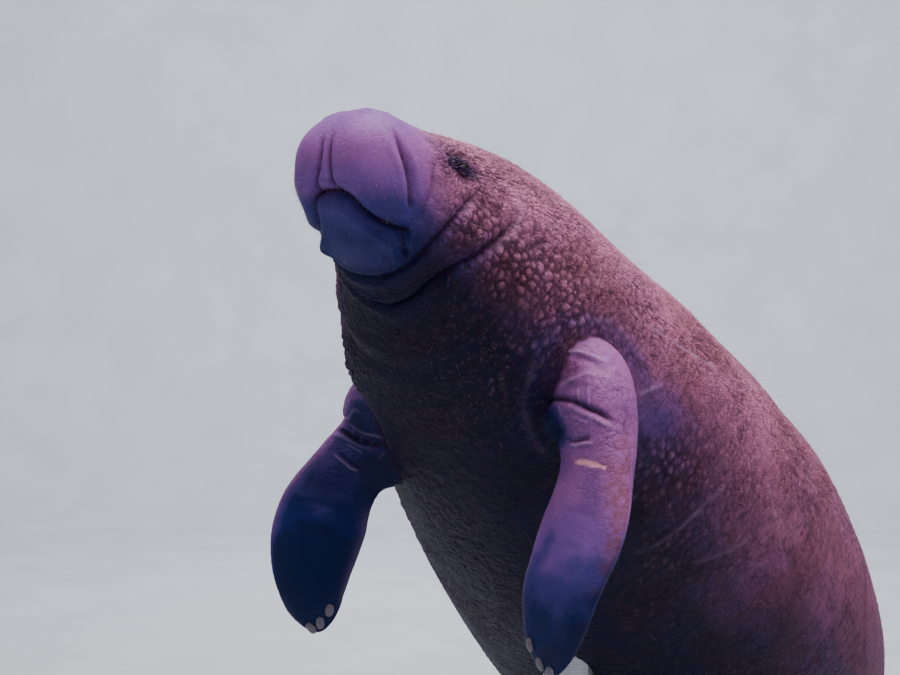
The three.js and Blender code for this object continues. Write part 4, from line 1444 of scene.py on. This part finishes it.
def hairs(name, roots, ways, lengths, radii, maps, seed):
    """A mesh of bent cones, from root points and directions in metres."""
    random = np.random.default_rng(seed)
    count = len(roots)
    ways = unit(ways)
    side = unit(np.cross(ways, random.normal(size=(count, 3))))
    other = np.cross(ways, side)
    sag = np.array([0, 0, -1.0]) * random.uniform(0.05, 0.5, (count, 1)) * lengths[:, None]
    sag = sag + side * random.uniform(-0.35, 0.35, (count, 1)) * lengths[:, None]
    points = []
    for step in range(HAIR_STEPS):
        share = step / HAIR_STEPS
        middle = roots + ways * (share * lengths)[:, None] + sag * share**2
        for corner in range(HAIR_SIDES):
            turn = corner / HAIR_SIDES * 2 * math.pi
            out = side * math.cos(turn) + other * math.sin(turn)
            points.append(middle + out * (radii * (1 - 0.75 * share))[:, None])
    points.append(roots + ways * lengths[:, None] + sag)
    per_hair = HAIR_SIDES * HAIR_STEPS + 1
    everything = np.stack(points, 1).reshape(-1, 3)
    quads, ends = [], []
    for step in range(HAIR_STEPS - 1):
        for corner in range(HAIR_SIDES):
            a = step * HAIR_SIDES + corner
            b = step * HAIR_SIDES + (corner + 1) % HAIR_SIDES
            quads.append((a, b, b + HAIR_SIDES, a + HAIR_SIDES))
    top = (HAIR_STEPS - 1) * HAIR_SIDES
    for corner in range(HAIR_SIDES):
        ends.append((top + corner, top + (corner + 1) % HAIR_SIDES, per_hair - 1))
    start = (np.arange(count) * per_hair)[:, None, None]
    all_quads = (start + np.array(quads)[None]).reshape(-1, 4)
    all_ends = (start + np.array(ends)[None]).reshape(-1, 3)
    mesh = new_mesh(name, everything / MM, all_quads, all_ends)
    layer = mesh.uv_layers.new(name="OFBake")
    spot = maps[:, None] + random.uniform(0, HAIR_PATCH, (1, per_hair, 2))
    corners = np.zeros(len(mesh.loops), np.int32)
    mesh.loops.foreach_get("vertex_index", corners)
    layer.data.foreach_set("uv", spot.reshape(-1, 2)[corners].astype(np.float32).ravel())
    return add_object(name, mesh)


def grid_map(index, shape, chart):
    left, bottom, width, high = chart
    row, column = np.divmod(index, shape[1])
    return np.stack(
        [left + (column + 0.5) / shape[1] * width, bottom + row / (shape[0] - 1) * high], -1
    )


def spread(skin, facing, how_many, density, seed):
    """Random points of a grid, spread by area times a density."""
    random = np.random.default_rng(seed)
    points = skin["points"]
    along = np.gradient(points, axis=0)
    around = (np.roll(points, -1, 1) - np.roll(points, 1, 1)) / 2
    area = np.linalg.norm(np.cross(along, around), axis=-1).ravel()
    chance = area * density
    index = random.choice(len(chance), how_many, replace=False, p=chance / chance.sum())
    return index, points.reshape(-1, 3)[index] * MM, facing[index], random


def body_hairs(body, facing):
    s, degrees = body["s"], body["degrees"]
    made = []
    # Short stiff bristles on the lips' pads and on the lower lip
    v, u = body["straight"][:, 2], np.abs(body["straight"][:, 1])
    muzzle = 1 - smooth(70, 112, s)
    pads = muzzle * (0.15 + bell((v + 30) / 34) + 0.5 * smooth(20, 60, u)) * smooth(62, 20, v)
    index, roots, out, random = spread(body, facing, BRISTLES, pads + 1e-9, 31)
    down = np.array([0, -0.25, -0.5])
    ways = out + 0.35 * down + random.normal(0, 0.2, (len(index), 3))
    lengths = random.uniform(3, 8, len(index)) * MM
    radii = random.uniform(0.12, 0.26, len(index)) * MM
    shape = body["points"].shape
    maps = grid_map(index, shape, CHARTS["body"])
    made.append(hairs("lip_bristles", roots - out * MM, ways, lengths, radii, maps, 32))
    # Single hairs over the back, the sides and the tail
    sparse = smooth(90, 240, s) * (0.12 + 0.88 * (1 - smooth(50, 110, degrees)))
    eye_clear = np.linalg.norm(left_side(body["straight"]) - eye_middle, axis=-1) > 40
    index, roots, out, random = spread(body, facing, BODY_HAIRS, sparse * eye_clear + 1e-9, 33)
    back = bent(np.array([[10.0, 0, 0]])) - bent(np.array([[0.0, 0, 0]]))
    ways = out + 0.35 * unit(back) + random.normal(0, 0.25, (len(index), 3))
    lengths = random.uniform(10, 34, len(index)) * MM
    radii = random.uniform(0.09, 0.18, len(index)) * MM
    maps = grid_map(index, shape, CHARTS["body"])
    made.append(hairs("body_hairs", roots - out * MM, ways, lengths, radii, maps, 34))
    return made


# Eyes
EYE_GAP = 0.15
CORNEA = {"up": 0.8, "wide": 0.55}


def eye_place(side):
    mirror = np.array([1, side, 1])
    middle = bent(((eye_middle - eye_out * EYE["sunk"]) * mirror)[None])[0]
    outer = bent(((eye_middle + eye_out * EYE["radius"]) * mirror)[None])[0]
    return middle, unit(outer - middle)


def round_grid(rings, columns, gap):
    """The angles of a round body's grid: from its front pole to its rear one, and round it."""
    tilt = np.linspace(gap, math.pi - gap, rings)
    return np.meshgrid(tilt, np.arange(columns) / columns * 2 * math.pi, indexing="ij")


def build_eye(name):
    """The ball with its cornea's low dome."""
    side = SIDES[name]
    middle, out = eye_place(side)
    tilt, turn = round_grid(48, 64, 0.02)
    one = unit(np.cross(out, (0, 0, 1.0)))
    two = np.cross(out, one)
    radius = EYE["radius"] - EYE_GAP + CORNEA["up"] * np.exp(-((tilt / CORNEA["wide"]) ** 4))
    ways = (
        np.cos(tilt)[..., None] * out
        + (np.sin(tilt) * np.cos(turn))[..., None] * one
        + (np.sin(tilt) * np.sin(turn))[..., None] * two
    )
    points = middle + ways * radius[..., None]
    ends = points[0].mean(0), points[-1].mean(0)
    mesh = closed_grid("eyeball_" + name, points, *ends, (0, 0, 1, 1))
    ball = add_object("eyeball_" + name, mesh)
    forward = unit(out + np.array([0, -0.25, -0.1]))
    ball.data.materials.append(eye_look(tuple(middle * MM), tuple(forward)))
    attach(ball, "root")
    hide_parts("eye_" + name)


# Nails
NAIL = {"long": 11, "wide": 7.5, "thick": 4.5}
# Where the nails sit: the share of the flipper's length, and the angle round it
NAILS = [(0.925, 2.3), (0.965, 1.9), (0.98, 1.2)]


def build_nail(name, number, look):
    """A worn, domed nail with a free edge that is a little squared."""
    surface = flipper_surface(name)
    t, angle = NAILS[number]
    middle = surface(np.array(t), np.array(angle))
    along = unit(surface(np.array(t + 0.01), angle) - surface(np.array(t - 0.01), angle))
    around = surface(np.array(t), angle + 0.05) - surface(np.array(t), angle - 0.05)
    out = unit(np.cross(along, around)) * SIDES[name]
    across = np.cross(along, out)
    tilt, turn = round_grid(28, 40, 0.03)
    x = power(np.sin(tilt) * np.cos(turn), 0.85) * NAIL["wide"]
    y = power(np.cos(tilt), 0.9) * NAIL["long"]
    ridges = 1 + 0.05 * np.cos(x * 2.6)
    z = np.sin(tilt) * np.sin(turn) * NAIL["thick"] * ridges
    points = middle + x[..., None] * across + y[..., None] * along + z[..., None] * out
    ends = points[0].mean(0), points[-1].mean(0)
    label = f"nail_{name}_{number + 1}"
    cross = np.cross(across, along) @ out
    mesh = closed_grid("fine_" + label, points, *ends, (0, 0, 1, 1), outward=cross)
    nail = add_object("fine_" + label, mesh)
    nail.data.materials.append(look)
    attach(nail, "root")
    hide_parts(label)


# Floor, backdrop, lights and camera
STAGE = {"flat": 10, "round": 3, "high": 9}
STAGE_COLUMNS = 128


def build_stage():
    """A pale floor that curves up to a wall all round."""
    flat, turn, high = STAGE["flat"], STAGE["round"], STAGE["high"]
    corner = np.linspace(0, math.pi / 2, 16)
    profile = [(0.5, 0.0)] + [(flat + turn * math.sin(a), turn - turn * math.cos(a)) for a in corner]
    profile.append((flat + turn, high))
    around = np.arange(STAGE_COLUMNS) / STAGE_COLUMNS * 2 * math.pi
    points = np.array([[(r * math.cos(a), r * math.sin(a), z) for a in around] for r, z in profile])
    mesh = closed_grid("floor", points / MM, (0, 0, 0), (0, 0, high / MM), (0, 0, 1, 1))
    keep = [face for face in mesh.polygons if face.center.z < high - 0.01]
    floor_mesh = bpy.data.meshes.new("pale_floor")
    floor_mesh.from_pydata(
        [v.co for v in mesh.vertices], [], [tuple(face.vertices) for face in keep]
    )
    floor_mesh.polygons.foreach_set("use_smooth", np.ones(len(keep), bool))
    floor = add_object("pale_floor", floor_mesh)
    look = Look("pale plaster")
    tone = look.noise(look.place(), 2, 3, 0.5)
    base = look.ramp(tone, [(0.2, colour(206, 210, 216)), (0.8, colour(218, 221, 226))])
    look.link(base, look.shader.inputs["Base Color"])
    look.shader.inputs["Roughness"].default_value = 0.9
    floor.data.materials.append(look.material)


def add_lamp(name, place, towards, size, power_of, tint):
    lamp = bpy.data.lights.new(name, "AREA")
    lamp.shape = "RECTANGLE"
    lamp.size, lamp.size_y = size
    lamp.energy = power_of
    lamp.color = tint
    made = add_object(name, lamp)
    made.location = place
    made.rotation_euler = (Vector(towards) - Vector(place)).to_track_quat("-Z", "Y").to_euler()


LAMPS = [
    # name, where it hangs, what it points at, its size, its watts and its colour
    ("over", (0.4, -0.3, 5.2), (0, -0.2, 1.2), (3.2, 3.6), 470, (1.0, 0.92, 0.96)),
    ("window", (5.0, -2.0, 3.4), (0, -0.4, 1.4), (2.4, 2.4), 80, (1.0, 0.9, 0.94)),
    ("fill", (-3.6, -5.0, 2.4), (0, -0.4, 1.4), (3, 3), 45, (0.78, 0.86, 1.0)),
    ("wall", (-2.6, 4.6, 6.5), (-7.5, 12.0, 1.5), (6, 4), 700, (0.93, 0.96, 1.0)),
]
SKY = (0.74, 0.84, 1.0, 1)
SKY_STRENGTH = 0.28


def light_up():
    for lamp in LAMPS:
        add_lamp(*lamp)
    world = bpy.data.worlds.new("soft room")
    world.use_nodes = True
    background = world.node_tree.nodes["Background"]
    background.inputs["Color"].default_value = SKY
    background.inputs["Strength"].default_value = SKY_STRENGTH
    bpy.context.scene.world = world


CAMERA = {"eye": (1.2327, -2.712, 1.7009), "azimuth": 31.6, "lens": 60, "sensor": 36}
HORIZON_UP = 7.5
PHOTO_WIDTH = 900


def add_camera():
    data = bpy.data.cameras.new("camera")
    data.lens = CAMERA["lens"]
    data.sensor_width = CAMERA["sensor"]
    data.shift_y = -HORIZON_UP / PHOTO_WIDTH
    data.clip_end = 100
    camera = add_object("camera", data)
    camera.location = CAMERA["eye"]
    camera.rotation_euler = (math.pi / 2, 0, math.radians(CAMERA["azimuth"]))
    bpy.context.scene.camera = camera


FLESH = ("head", "neck", "chest", "belly", "tail_stock", "tail_paddle", "flipper_left", "flipper_right")


def finish_cad(node, look):
    mesh = frame["nodes"][node].data
    mesh.materials.clear()
    mesh.materials.append(look)


def main():
    skin, body, facing = build_skin()
    skin.data.materials.clear()
    skin.data.materials.append(skin_look())
    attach(skin, "root")
    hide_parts(*FLESH)
    bristle = hair_look()
    for piece in body_hairs(body, facing):
        piece.data.materials.append(bristle)
        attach(piece, "root")
    horn = nail_look()
    for name in SIDES:
        build_eye(name)
        for number in range(len(NAILS)):
            build_nail(name, number, horn)
    finish_cad("stand_base", wood_look())
    steel = steel_look()
    for node in ("stand_rod_front", "stand_rod_rear"):
        finish_cad(node, steel)
    build_stage()
    light_up()
    add_camera()


main()
